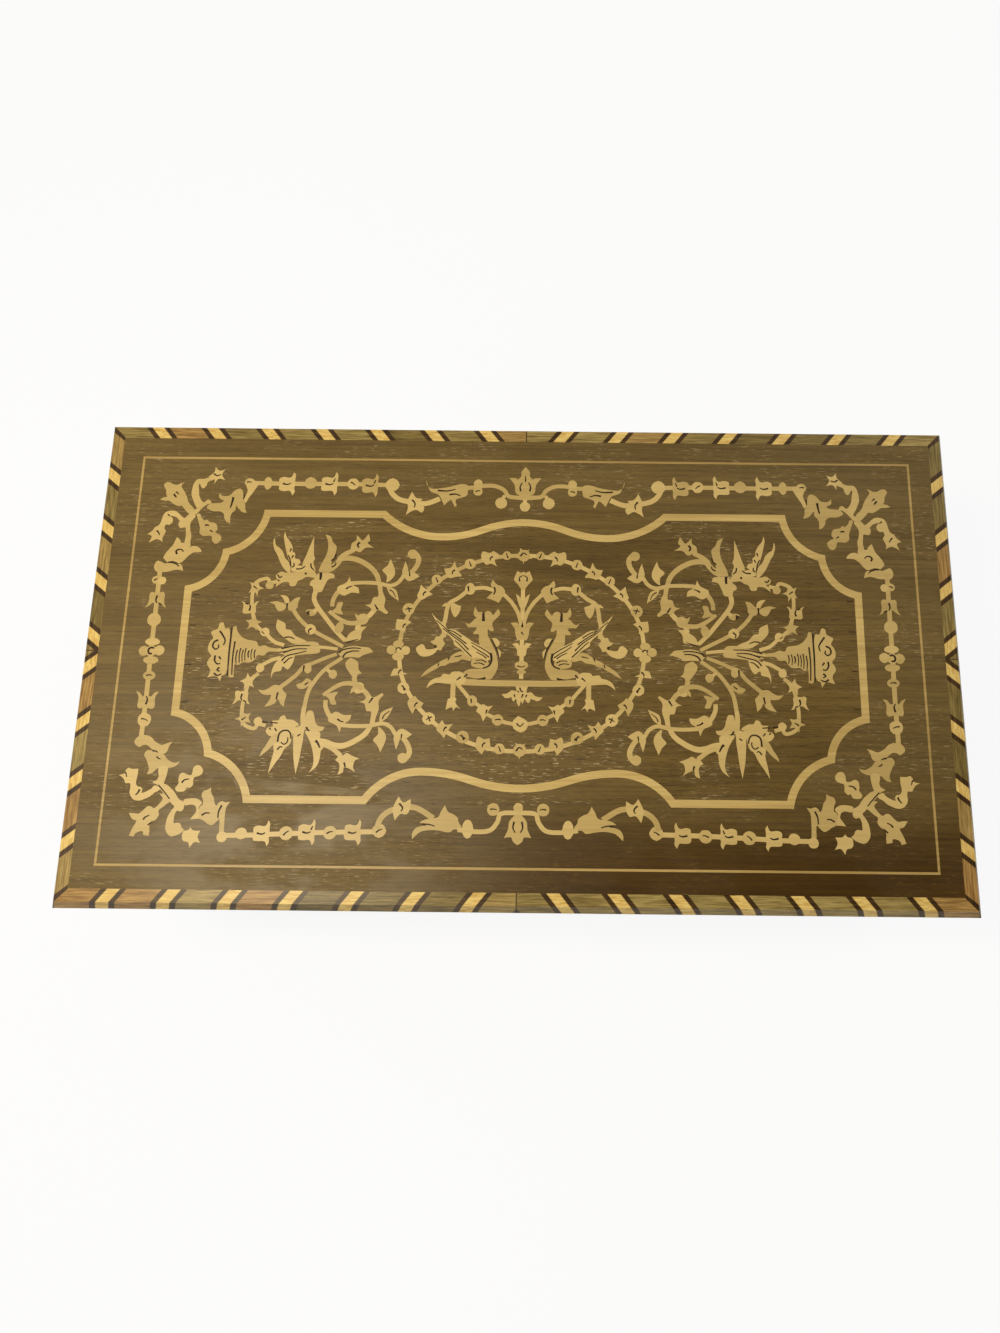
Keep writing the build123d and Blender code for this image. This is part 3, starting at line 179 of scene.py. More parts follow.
figure.links.new(sum_of(figure, "SUBTRACT", 1.0, pore_mask, (160, -140)), figure_out.inputs["Height"])


def plain_material(name, colour, roughness, metallic=0.0, **sockets):
    """A Principled material with its own values: (material, tree, shader)."""
    material = bpy.data.materials.new(name)
    material.use_nodes = True
    shader = material.node_tree.nodes["Principled BSDF"]
    shader.inputs["Base Color"].default_value = colour
    shader.inputs["Roughness"].default_value = roughness
    shader.inputs["Metallic"].default_value = metallic
    for label, value in sockets.items():
        shader.inputs[label.replace("_", " ")].default_value = value
    return material, material.node_tree, shader


def object_vector(tree, turn=(0.0, 0.0, 0.0), offset=(0.0, 0.0, 0.0)):
    """Object coordinates, turned so that the grain runs along X."""
    place = add_node(tree, "ShaderNodeTexCoord", (-1500, 0))
    turned = add_node(tree, "ShaderNodeMapping", (-1300, 0))
    turned.inputs["Rotation"].default_value = turn
    turned.inputs["Location"].default_value = offset
    tree.links.new(place.outputs["Object"], turned.inputs["Vector"])
    return turned.outputs["Vector"]


def wood_material(name, pale, deep, pore, pore_amount, roughness,
                  turn=(0.0, 0.0, 0.0), offset=(0.0, 0.0, 0.0)):
    """A lacquered board with the wood figure: (material, tree, shader, figure node)."""
    material, tree, shader = plain_material(name, pale, roughness, Specular_IOR_Level=lacquer_gloss)
    wood = add_node(tree, "ShaderNodeGroup", (-900, 0), node_tree=figure)
    for label, value in (("Pale", pale), ("Deep", deep), ("Pore", pore), ("Pore Amount", pore_amount)):
        wood.inputs[label].default_value = value
    tree.links.new(object_vector(tree, turn, offset), wood.inputs["Vector"])
    tree.links.new(wood.outputs["Color"], shader.inputs["Base Color"])
    emboss(tree, shader, wood.outputs["Height"], 0.25, pore_depth, (-300, -200))
    return material, tree, shader, wood


def dress(node_name, material, smooth=0.0, bevel=0.0):
    """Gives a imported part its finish, and a worn edge or a smooth round where it has one."""
    part = nodes[node_name]
    part.data.materials.clear()
    part.data.materials.append(material)
    if smooth or bevel:
        weld = part.modifiers.new("weld", "WELD")
        weld.merge_threshold = 0.002 * mm
    if bevel:
        flat = part.modifiers.new("whole faces", "DECIMATE")
        flat.decimate_type = "DISSOLVE"
        flat.angle_limit = radians(1)
        edge = part.modifiers.new("worn edge", "BEVEL")
        edge.width = bevel
        edge.segments = 2
        edge.limit_method = "ANGLE"
        edge.angle_limit = radians(40)
    if smooth:
        for polygon in part.data.polygons:
            polygon.use_smooth = True
        split = part.modifiers.new("crisp corners", "EDGE_SPLIT")
        split.split_angle = radians(smooth)
    return part


long_walnut = wood_material(
    "walnut along the front", walnut_pale, walnut_deep, walnut_pore, walnut_pore_amount, walnut_roughness
)[0]
side_walnut = wood_material(
    "walnut along the sides", walnut_pale, walnut_deep, walnut_pore, walnut_pore_amount, walnut_roughness,
    (0, 0, pi / 2), (0.4, 0.1, 0)
)[0]
wall_edge = 0.5 * mm
for wall in ("front_wall", "back_wall"):
    dress(wall, long_walnut, bevel=wall_edge)
for wall in ("left_wall", "right_wall"):
    dress(wall, side_walnut, bevel=wall_edge)


# Plinth, bottom board and feet
# Mitred walnut mouldings run round the foot of the walls, four turned feet stand under the corners on
# discs of green felt, and a plain poplar board closes the bottom in a groove.
plinth_walnut = wood_material(
    "dark moulding walnut", (0.150, 0.086, 0.036, 1.0), (0.070, 0.038, 0.016, 1.0), walnut_pore, 0.5, 0.34
)[0]
foot_walnut = wood_material(
    "turned foot walnut", (0.130, 0.072, 0.030, 1.0), (0.060, 0.032, 0.014, 1.0), walnut_pore, 0.4, 0.32,
    (0, pi / 2, 0),
)[0]
poplar = wood_material(
    "plain poplar", (0.62, 0.50, 0.33, 1.0), (0.50, 0.38, 0.22, 1.0), (0.34, 0.25, 0.15, 1.0), 0.25, 0.62
)[0]
dress("plinth_mouldings", plinth_walnut, smooth=30.0)
dress("bun_feet", foot_walnut, smooth=40.0)
dress("bottom_board", poplar)
dress("movement_partitions", poplar)
pile_depth = 0.1 * mm


def cloth_material(name, deep, pale, weave, strength, sheen, roughness=0.85):
    """Cloth with a fine pile or weave: deep in the hollows as painted shade, pale on the tops."""
    material, tree, shader = plain_material(name, pale, roughness, Sheen_Weight=sheen, Sheen_Roughness=0.4)
    shader.inputs["Sheen Tint"].default_value = pale
    vector = object_vector(tree)
    fine = stretched_noise(tree, vector, (weave, weave, weave), (-1000, 200), 2.0, 0.6)
    broad = stretched_noise(tree, vector, (70.0, 70.0, 70.0), (-1000, -50), 3.0, 0.6)
    painted_weave_shade = sum_of(tree, "MULTIPLY", fine, 0.6, (-560, 200))
    some_broad = sum_of(tree, "MULTIPLY", broad, 0.4, (-560, 0))
    weave_shade_and_tone = sum_of(tree, "ADD", painted_weave_shade, some_broad, (-380, 120))
    # the deep colour follows the weave's hollows, which is painted shade; the broad noise adds random tone
    colour = blend_colour(tree, ramp(tree, weave_shade_and_tone, 0.32, 0.68, (-200, 120)), deep, pale, (0, 120))
    emboss(tree, shader, fine, strength, pile_depth, (0, -200))
    tree.links.new(colour, shader.inputs["Base Color"])
    return material


green_felt = cloth_material(
    "green felt", (0.025, 0.060, 0.030, 1.0), (0.060, 0.140, 0.070, 1.0), 2600.0, 0.5, 0.3
)
dress("foot_felts", green_felt, smooth=40.0)


# Lining and compartments
# Stiff card and thin boards covered with red velvet, glued in: the walls, the floor, the dividers and the
# base of the ring rolls.
red_velvet = cloth_material(
    "red velvet", (0.120, 0.006, 0.012, 1.0), (0.300, 0.018, 0.032, 1.0), 3400.0, 0.45, 0.7
)
card_round = 0.4 * mm
for covered in ("wall_linings", "floor_lining", "compartment_dividers", "ring_roll_base"):
    dress(covered, red_velvet, bevel=card_round)


# Ring rolls
# Six foam rolls covered with red satin, pressed side by side into the ring compartment so that a ring's
# band is held between two of them. The cover is glued on its base and tucked in at the ends.
red_satin = cloth_material(
    "red satin", (0.200, 0.010, 0.022, 1.0), (0.380, 0.024, 0.048, 1.0), 5200.0, 0.25, 0.35, 0.42
)
roll_low, roll_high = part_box("ring_rolls")
roll_count = 6
roll_radius = 5.5 * mm
roll_end_round = 2.2 * mm
roll_end_play = 0.4 * mm
roll_cuts = 24
wrinkle_turns = 38
wrinkle_depth = 0.035
wrinkle_chance = 0.02
tucked_share = 0.02
tucked_pull = 0.86
roll_length = roll_high[0] - roll_low[0]
roll_pitch = (roll_high[1] - roll_low[1] - 2 * roll_radius) / (roll_count - 1)
middle_x = (roll_low[0] + roll_high[0]) / 2
middle_z = (roll_low[2] + roll_high[2]) / 2
slack = Random(3)


def select_only(pieces):
    """Selects these objects and makes the first the active one."""
    deselect_all()
    for piece in pieces:
        piece.select_set(True)
    bpy.context.view_layer.objects.active = pieces[0]


def joined(pieces, name):
    """These objects as one mesh with that name."""
    select_only(pieces)
    bpy.ops.object.join()
    whole = bpy.context.object
    whole.name = name
    return whole


rolls = []
for i in range(roll_count):
    middle_y = roll_low[1] + roll_radius + i * roll_pitch
    deselect_all()
    bpy.ops.mesh.primitive_cylinder_add(
        vertices=28, radius=roll_radius, depth=roll_length - roll_end_play, rotation=(0, pi / 2, 0),
        location=(middle_x, middle_y, middle_z),
    )
    roll = bpy.context.object
    bpy.ops.object.transform_apply(location=True, rotation=True, scale=True)
    bpy.ops.object.mode_set(mode="EDIT")
    for cut in range(1, roll_cuts):
        bpy.ops.mesh.select_all(action="SELECT")
        cut_x = roll_low[0] + roll_length * cut / roll_cuts
        bpy.ops.mesh.bisect(plane_co=(cut_x, 0, 0), plane_no=(1, 0, 0))
    bpy.ops.object.mode_set(mode="OBJECT")
    phase = slack.uniform(0, 6)
    for vertex in roll.data.vertices:
        share = (vertex.co.x - roll_low[0]) / roll_length
        wave = 0.5 + 0.5 * sin(share * wrinkle_turns + phase)
        pull = 1.0 - wrinkle_depth * wave - wrinkle_chance * slack.random()
        if min(share, 1 - share) < tucked_share:
            pull = tucked_pull
        vertex.co.y = middle_y + (vertex.co.y - middle_y) * pull
        vertex.co.z = middle_z + (vertex.co.z - middle_z) * pull
    edge = roll.modifiers.new("tucked end", "BEVEL")
    edge.width = roll_end_round
    edge.segments = 4
    edge.limit_method = "ANGLE"
    edge.angle_limit = radians(60)
    bpy.ops.object.modifier_apply(modifier=edge.name)
    rolls.append(roll)
padded_rolls = joined(rolls, "padded_ring_rolls")
bpy.ops.object.shade_smooth()
padded_rolls.data.materials.append(red_satin)
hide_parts("ring_rolls")
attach(padded_rolls, "case")


# Movement
# A cylinder movement on a brass bedplate: spring drum and great wheel, pinned cylinder, comb and a worm
# with a fan that sets the speed. Arbors, pins and comb are steel, the wheels and bridges brass. The lock's
# bolt is of the same steel.


def metal_material(name, colour, roughness, brushed, turn=(0.0, 0.0, 0.0)):
    """Metal with faint brush marks along X, a little rougher in patches."""
    material, tree, shader = plain_material(name, colour, roughness, 1.0)
    marks = stretched_noise(tree, object_vector(tree, turn), (120.0, 5200.0, 5200.0), (-1000, 0), 2.0, 0.6)
    uneven = spread(tree, marks, roughness - brushed, roughness + brushed, (-500, 0))
    tree.links.new(uneven, shader.inputs["Roughness"])
    return material


brass = metal_material("satin brass", (0.80, 0.58, 0.26, 1.0), 0.30, 0.08)
steel = metal_material("polished steel", (0.56, 0.56, 0.57, 1.0), 0.26, 0.08)
comb_steel = metal_material("comb steel", (0.50, 0.50, 0.52, 1.0), 0.34, 0.10, (0, 0, pi / 2))
blue_steel = metal_material("blued steel", (0.07, 0.10, 0.24, 1.0), 0.30, 0.06)
for part in ("movement_bedplate", "movement_pillars", "cylinder", "cylinder_wheel", "cylinder_bearings",
             "great_wheel", "spring_drum", "barrel_bridge", "comb_rest", "worm_wheel", "governor_bracket",
             "governor_fan", "stop_guide"):
    dress(part, brass, smooth=30.0)
for part in ("cylinder_arbor", "second_arbor", "governor_worm", "winding_arbor", "winding_key", "stop_pin",
             "lock_bolt"):
    dress(part, steel, smooth=30.0)
dress("comb", comb_steel)
for part in ("movement_screws", "comb_screws"):
    dress(part, blue_steel, smooth=30.0)


# Cylinder pins
# Fine steel pins driven into the brass cylinder in rings under the comb's teeth, and ground to one height.
# They pluck the teeth as the cylinder turns.
pin_rings = 30
pins_in_ring = 5
pin_radius = 0.16 * mm
pin_height = 0.55 * mm
pin_embed = 0.3 * mm
cylinder_low, cylinder_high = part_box("cylinder")
cylinder_radius = (cylinder_high[2] - cylinder_low[2]) / 2
axis_y = (cylinder_high[1] + cylinder_low[1]) / 2
axis_z = (cylinder_high[2] + cylinder_low[2]) / 2
tune = Random(5)
pins = []
deselect_all()
bpy.ops.mesh.primitive_cylinder_add(
    vertices=6, radius=pin_radius, depth=pin_height + pin_embed,
    location=(0, 0, cylinder_radius + (pin_height - pin_embed) / 2),
)
first_pin = bpy.context.object
bpy.ops.object.transform_apply(location=True, rotation=True, scale=True)
for ring in range(pin_rings):
    place_x = cylinder_low[0] + (ring + 0.75) * (cylinder_high[0] - cylinder_low[0]) / (pin_rings + 0.5)
    for turn in [tune.uniform(0, 2 * pi) for _ in range(pins_in_ring)]:
        pin = first_pin.copy()
        pin.data = first_pin.data.copy()
        pin.data.transform(Matrix.Translation((place_x, axis_y, axis_z)) @ Matrix.Rotation(turn, 4, "X"))
        bpy.context.scene.collection.objects.link(pin)
        pins.append(pin)
bpy.data.objects.remove(first_pin)
cylinder_pins = joined(pins, "cylinder_pins")
cylinder_pins.data.materials.append(steel)
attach(cylinder_pins, "cylinder_set")


# Movement cover
# A walnut frame holds a pane of clear glass in its rebate, through which the movement can be seen. It rests
# on two poplar battens over the movement.
frame_edge = 0.4 * mm
glass = plain_material("clear glass", (0.93, 0.97, 0.95, 1.0), 0.02, Transmission_Weight=1.0, IOR=1.45)[0]
dress("cover_frame", long_walnut, bevel=frame_edge)
dress("cover_battens", poplar)
dress("cover_glass", glass)


# Hinges
# Two brass butts with steel pins. Their leaves are let into the back wall and the lid's back rail, and each
# is held by three slotted brass screws.
for part in ("hinge_case_leaves", "hinge_lid_leaves"):
    dress(part, brass, smooth=30.0)
dress("hinge_pins", steel, smooth=30.0)

screw_radius = 1.9 * mm
screw_head = 0.7 * mm
screw_proud = 0.1 * mm
screw_slot = 0.45 * mm
slot_depth = 0.3 * mm
deselect_all()
bpy.ops.mesh.primitive_cylinder_add(
    vertices=20, radius=screw_radius, depth=screw_head, location=(0, 0, -screw_head / 2)
)
first_screw = bpy.context.object
bpy.ops.object.transform_apply(location=True, rotation=True, scale=True)
bpy.ops.object.mode_set(mode="EDIT")
for place_y in (-screw_slot / 2, screw_slot / 2):
    bpy.ops.mesh.select_all(action="SELECT")
    bpy.ops.mesh.bisect(plane_co=(0, place_y, 0), plane_no=(0, 1, 0))
bpy.ops.mesh.select_all(action="DESELECT")
bpy.ops.object.mode_set(mode="OBJECT")
for polygon in first_screw.data.polygons:
    polygon.select = polygon.normal[2] > 0.9 and abs(polygon.center[1]) < screw_slot / 4
bpy.ops.object.mode_set(mode="EDIT")
bpy.ops.mesh.select_mode(type="FACE")
bpy.ops.mesh.extrude_region_move(TRANSFORM_OT_translate={"value": (0, 0, -slot_depth)})
bpy.ops.object.mode_set(mode="OBJECT")


def drive_screws(name, places, facing, body):
    """Slotted brass screws with their heads at these places, facing up (1) or down (-1), as one piece."""
    flip = Matrix.Rotation(pi if facing < 0 else 0.0, 4, "X")
    driven = []
    for x, y, z in places:
        screw = first_screw.copy()
        screw.data = first_screw.data.copy()
        spin = Matrix.Rotation(tune.uniform(0, pi), 4, "Z")
        screw.data.transform(Matrix.Translation((x, y, z + facing * screw_proud)) @ spin @ flip)
        bpy.context.scene.collection.objects.link(screw)
        driven.append(screw)
    row = joined(driven, name)
    row.data.materials.append(brass)
    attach(row, body)


screw_row_y = 92.0 * mm
hinge_from_middle = 115 * mm
hinge_screw_pitch = 11 * mm
case_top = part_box("back_wall")[1][2]
lid_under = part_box("lid_back_rail")[0][2]
hinge_x = [side * hinge_from_middle + step * hinge_screw_pitch for side in (-1, 1) for step in (-1, 0, 1)]
drive_screws("hinge_case_screws", [(x, screw_row_y, case_top) for x in hinge_x], 1, "case")
drive_screws("hinge_lid_screws", [(x, screw_row_y, lid_under) for x in hinge_x], -1, "lid")


# Lock
# A brass box lock let into the front wall, a brass strike with two eyes let into the lid, each held by two
# brass screws, and a brass escutcheon round the keyhole.
lock_screw_x = 20.5 * mm
lock_screw_y = -91.5 * mm
strike_screw_x = 10.5 * mm
strike_screw_y = -91.0 * mm
for part in ("lock_body", "lock_strike", "escutcheon"):
    dress(part, brass, smooth=30.0)
drive_screws("lock_screws", [(x, lock_screw_y, case_top) for x in (-lock_screw_x, lock_screw_x)], 1, "case")
drive_screws(
    "strike_screws", [(x, strike_screw_y, lid_under) for x in (-strike_screw_x, strike_screw_x)], -1, "lid"
)
bpy.data.objects.remove(first_screw)


# Lid board and rails
# A flat walnut board on four walnut rails that carry the walls' lines up into the lid. They are lacquered
# like the case, and the grain of each rail runs along it.
lid_edge = 0.3 * mm
for part in ("lid_front_rail", "lid_back_rail", "lid_board"):
    dress(part, long_walnut, bevel=lid_edge)
dress("lid_side_rails", side_walnut, bevel=lid_edge)


# Edge banding
# Strips built up from slanting blocks of several brown woods, parted by a pale block between two dark
# ones. Each strip is laid both ways from its middle, mitred at the corners and planed to a bevel.
lid_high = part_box("edge_bandings")[1]
block_pitch = 23.4 * mm
long_start = 20.0 * mm
side_start = 9.8 * mm
stripe_lean = 0.8
pale_half = 2.5 * mm
dark_half = 4.9 * mm
block_soft = 0.28 * mm
mitre_open = 0.30 * mm
mitre_shut = 0.12 * mm
pale_block = (0.62, 0.43, 0.130, 1.0)
dark_block = (0.050, 0.026, 0.008, 1.0)

banding, band_tree, band_shader = plain_material(
    "slanting block banding", (0.2, 0.12, 0.04, 1.0), 0.28, Specular_IOR_Level=0.16
)
place = add_node(band_tree, "ShaderNodeTexCoord", (-2400, 0))
axes = add_node(band_tree, "ShaderNodeSeparateXYZ", (-2200, 0))
band_tree.links.new(place.outputs["Object"], axes.inputs[0])
across_x = sum_of(band_tree, "ABSOLUTE", axes.outputs[0], None, (-2000, 200))
across_y = sum_of(band_tree, "ABSOLUTE", axes.outputs[1], None, (-2000, 0))
from_side = sum_of(band_tree, "SUBTRACT", lid_high[0], across_x, (-1800, 200))
from_front = sum_of(band_tree, "SUBTRACT", lid_high[1], across_y, (-1800, 0))
on_side = sum_of(band_tree, "LESS_THAN", from_side, from_front, (-1600, 200))
inward = sum_of(band_tree, "MINIMUM", from_side, from_front, (-1600, 0))


def chosen(mask, off, on, at):
    """off where the mask is 0 and on where it is 1."""
    mix = add_node(band_tree, "ShaderNodeMix", at, data_type="FLOAT")
    for value, socket in ((mask, mix.inputs[0]), (off, mix.inputs[2]), (on, mix.inputs[3])):
        if isinstance(value, float):
            socket.default_value = value
        else:
            band_tree.links.new(value, socket)
    return mix.outputs[0]


run = chosen(on_side, across_x, across_y, (-1400, 300))
start = chosen(on_side, long_start, side_start, (-1400, 100))
lean = sum_of(band_tree, "MULTIPLY", inward, stripe_lean, (-1400, -100))
slant = sum_of(band_tree, "ADD", run, lean, (-1200, 300))
from_start = sum_of(band_tree, "SUBTRACT", slant, start, (-1000, 300))
counted = sum_of(band_tree, "DIVIDE", from_start, block_pitch, (-800, 300))
nearest = sum_of(band_tree, "ROUND", counted, None, (-600, 400))
off_stripe = sum_of(band_tree, "SUBTRACT", counted, nearest, (-600, 200))
apart = sum_of(band_tree, "ABSOLUTE", off_stripe, None, (-400, 200))
apart = sum_of(band_tree, "MULTIPLY", apart, block_pitch, (-200, 200))
block = sum_of(band_tree, "FLOOR", counted, None, (-600, 0))
# a number for each half strip, so that the browns differ from strip to strip
sign_x = sum_of(band_tree, "SIGN", axes.outputs[0], None, (-600, -200))
sign_y = sum_of(band_tree, "SIGN", axes.outputs[1], None, (-600, -350))
sign_y = sum_of(band_tree, "MULTIPLY", sign_y, 2.7, (-400, -350))
strip = sum_of(band_tree, "ADD", sign_x, sign_y, (-400, -200))
key = add_node(band_tree, "ShaderNodeCombineXYZ", (-200, -200))
band_tree.links.new(block, key.inputs[0])
band_tree.links.new(strip, key.inputs[1])
band_tree.links.new(on_side, key.inputs[2])
lot = add_node(band_tree, "ShaderNodeTexWhiteNoise", (0, -200), noise_dimensions="3D")
band_tree.links.new(key.outputs[0], lot.inputs["Vector"])
browns = add_node(band_tree, "ShaderNodeValToRGB", (200, -200))
browns.color_ramp.elements[0].color = (0.150, 0.105, 0.030, 1.0)
browns.color_ramp.elements[1].color = (0.310, 0.175, 0.052, 1.0)
browns.color_ramp.elements.new(0.6).color = (0.280, 0.205, 0.066, 1.0)
band_tree.links.new(lot.outputs["Value"], browns.inputs["Fac"])
fibre = add_node(band_tree, "ShaderNodeCombineXYZ", (-600, -600))
for value, socket, stretch in ((slant, 0, 90.0), (inward, 1, 1500.0), (lot.outputs["Value"], 2, 40.0)):
    stretched = sum_of(band_tree, "MULTIPLY", value, stretch, (-800, -600 - 150 * socket))
    band_tree.links.new(stretched, fibre.inputs[socket])
band_grain = stretched_noise(band_tree, fibre.outputs[0], (1.0, 1.0, 1.0), (-200, -500), 4.0, 0.65)
pale_mask = ramp(band_tree, apart, pale_half + block_soft, pale_half - block_soft, (0, 200))
dark_mask = ramp(band_tree, apart, dark_half + block_soft, dark_half - block_soft, (0, 400))
with_dark = blend_colour(band_tree, dark_mask, browns.outputs["Color"], dark_block, (700, 0))
with_pale = blend_colour(band_tree, pale_mask, with_dark, pale_block, (900, 0))
# the joints at the mitred corners and in the middle of each strip
from_mitre = sum_of(band_tree, "SUBTRACT", from_side, from_front, (0, 600))
from_mitre = sum_of(band_tree, "ABSOLUTE", from_mitre, None, (200, 600))
seam_gap = sum_of(band_tree, "MINIMUM", run, from_mitre, (400, 600))
seam = ramp(band_tree, seam_gap, mitre_open, mitre_shut, (600, 600))
grain_tone = ramp(band_tree, band_grain, 0.25, 0.75, (200, -450))
grained = blend_colour(band_tree, 0.65, with_pale, grain_tone, (1000, -200), "SOFT_LIGHT")
banded = blend_colour(band_tree, seam, grained, dark_block, (1200, 0))
band_tree.links.new(banded, band_shader.inputs["Base Color"])
dress("edge_bandings", banding)


# Lid veneer
# Knife-cut walnut veneer with the grain along the lid, lacquered to a satin polish. The ground inside the
# cartouche is a redder sheet. Old polish carries light dashes in the pores and fine scratches across the
# grain, which are drawn pale where the lamp would glint on them: painted reflection. Toward the front
# right the field is darkened with painted shade.
field_pale = (0.148, 0.096, 0.027, 1.0)
field_deep = (0.114, 0.072, 0.018, 1.0)
ground_pale = (0.150, 0.095, 0.024, 1.0)
ground_deep = (0.096, 0.058, 0.013, 1.0)
field_pore = (0.035, 0.019, 0.005, 1.0)
# the pale of the flecks in the pores, and of the painted glints on the rub marks
fleck_and_glint_colour = (0.46, 0.36, 0.19, 1.0)
# the tint of the painted shade toward the front right of the field
painted_shade_tint = (0.42, 0.31, 0.07, 1.0)

# pale flecks in the pores, which are real, and pale rub marks, which are a painted reflection
wear_and_glints, wear_in, wear_out = group_sheet(
    "old polish and painted glints",
    (("Vector", "NodeSocketVector", None),
     ("Color", "NodeSocketColor", field_pale),
     ("Amount", "NodeSocketFloat", 0.5)),
    (("Color", "NodeSocketColor"), ("Roughness", "NodeSocketFloat")),
)
worn = wear_in.outputs["Vector"]
dash_noise = stretched_noise(wear_and_glints, worn, (240.0, 2100.0, 2100.0), (-1000, 300), 2.0, 0.5, (3.0, 1.0, 0.0))
dashes = ramp(wear_and_glints, dash_noise, 0.61, 0.68, (-500, 300))
patch_noise = stretched_noise(wear_and_glints, worn, (26.0, 44.0, 44.0), (-1000, 60), 3.0, 0.6)
patches = ramp(wear_and_glints, patch_noise, 0.44, 0.62, (-500, 60))
flecks = sum_of(wear_and_glints, "MULTIPLY", dashes, patches, (-300, 200))
# fine rubbing marks across the grain, drawn pale where they would catch the lamp: a painted reflection on
# real scratches
rub_noise = stretched_noise(wear_and_glints, worn, (2400.0, 60.0, 60.0), (-1000, -300), 3.0, 0.6, (1.0, 7.0, 0.0))
rubs = ramp(wear_and_glints, rub_noise, 0.56, 0.80, (-500, -300))
rub_glints = sum_of(wear_and_glints, "MULTIPLY", rubs, patches, (-300, -200))
rub_glints = sum_of(wear_and_glints, "MULTIPLY", rub_glints, 0.22, (-200, -200))
marks = sum_of(wear_and_glints, "MAXIMUM", flecks, rub_glints, (-200, 100))
fleck_and_glint_mask = sum_of(wear_and_glints, "MULTIPLY", marks, wear_in.outputs["Amount"], (-100, 200))
flecked = blend_colour(wear_and_glints, fleck_and_glint_mask, wear_in.outputs["Color"], fleck_and_glint_colour, (300, 200))
wear_and_glints.links.new(flecked, wear_out.inputs["Color"])
wear_and_glints.links.new(spread(wear_and_glints, patches, 0.36, 0.52, (300, -100)), wear_out.inputs["Roughness"])


def veneer_material(name, pale, deep, offset, pores, amount):
    """Veneer with the wood figure under old polish."""
    material, tree, shader, wood = wood_material(name, pale, deep, field_pore, pores, 0.4, offset=offset)
    # the polish group lays the pale flecks and the painted glints over the figure
    polish = add_node(tree, "ShaderNodeGroup", (-500, 100), node_tree=wear_and_glints)
    polish.inputs["Amount"].default_value = amount
    tree.links.new(wood.inputs["Vector"].links[0].from_socket, polish.inputs["Vector"])
    tree.links.new(wood.outputs["Color"], polish.inputs["Color"])
    tree.links.new(polish.outputs["Color"], shader.inputs["Base Color"])
    tree.links.new(polish.outputs["Roughness"], shader.inputs["Roughness"])
    return material


field_veneer = veneer_material("walnut veneer field", field_pale, field_deep, (0.0, 0.0, 0.0), 0.35, 0.4)
# toward the front right the field is darkened: painted shade
field_tree = field_veneer.node_tree
place = add_node(field_tree, "ShaderNodeSeparateXYZ", (-900, -500))
field_tree.links.new(add_node(field_tree, "ShaderNodeTexCoord", (-1100, -500)).outputs["Object"], place.inputs[0])
to_right = ramp(field_tree, place.outputs["X"], -0.075, 0.03, (-700, -400))
to_front = ramp(field_tree, place.outputs["Y"], -0.045, -0.088, (-700, -600))
field_colour = field_tree.nodes["Principled BSDF"].inputs["Base Color"]
fresh_colour = field_colour.links[0].from_socket
painted_shade_mask = sum_of(field_tree, "MULTIPLY", to_right, to_front, (-500, -500))
painted_shade_colour = blend_colour(field_tree, painted_shade_mask, fresh_colour, painted_shade_tint, (-200, -300), "MULTIPLY")
field_tree.links.new(painted_shade_colour, field_colour)
ground_veneer = veneer_material(
    "walnut veneer ground", ground_pale, ground_deep, (0.9, 0.35, 0.0), 0.6, 0.75
)
lid_veneer = dress("lid_veneer", field_veneer)
lid_veneer.data.materials.append(ground_veneer)
veneer_middle = (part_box("lid_veneer")[0][2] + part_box("lid_veneer")[1][2]) / 2


def inside_cartouche(x, y):
    """Whether a place lies within the pale band, by how often a line to the right cuts it."""
    cuts = 0
    start = Vector((x, y, veneer_middle))
    # a hair off level, so that it runs along no edge
    heading = Vector((1.0, 0.0003, 0.0))
    while True:
        hit, at = nodes["cartouche_band"].ray_cast(start, heading)[:2]
        if not hit:
            return cuts % 4 == 2
        cuts += 1
        start = at + Vector((0.1 * mm, 0.0, 0.0))


for polygon in lid_veneer.data.polygons:
    if inside_cartouche(polygon.center[0], polygon.center[1]):
        polygon.material_index = 1


# Stringing line and cartouche band
# Pale wood let into the veneer: a straight line on each side of the field, and a lobed band built up from
# short bent lengths. The lacquer has yellowed both.
inlay_pale = (0.55, 0.395, 0.142, 1.0)
inlay_deep = (0.43, 0.300, 0.100, 1.0)
inlay_line = (0.24, 0.14, 0.04, 1.0)
string_pale = (0.44, 0.30, 0.10, 1.0)
string_deep = (0.33, 0.22, 0.07, 1.0)
inlay = wood_material("yellowed maple", inlay_pale, inlay_deep, inlay_line, 0.10, 0.36)[0]
string_wood = wood_material("yellowed maple string", string_pale, string_deep, inlay_line, 0.2, 0.36)[0]
dress("stringing_line", string_wood)
dress("cartouche_band", inlay)


# Inlaid ornament
# Cut-outs of the same pale wood, sawn with a fine blade, laid into the veneer and engraved with short
# strokes that are rubbed with dark filler. Each outline is drawn in millimetres on one half of the lid and
# its twin is the mirror image on the other. Pieces on the middle line have none.
lid_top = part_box("lid_veneer")[1][2]
cut_half = 0.04 * mm
cut_lift = 0.02 * mm
cut_step = 0.0002 * mm
engraved_lift = 0.12 * mm
cut_numbers = count(1)
sawing_slip = 0.12
bead_sides = 12
bead_low, bead_high = 0.95, 1.05
tip = True
hand = Random(11)
cut_groups = {}
engraved_groups = {}


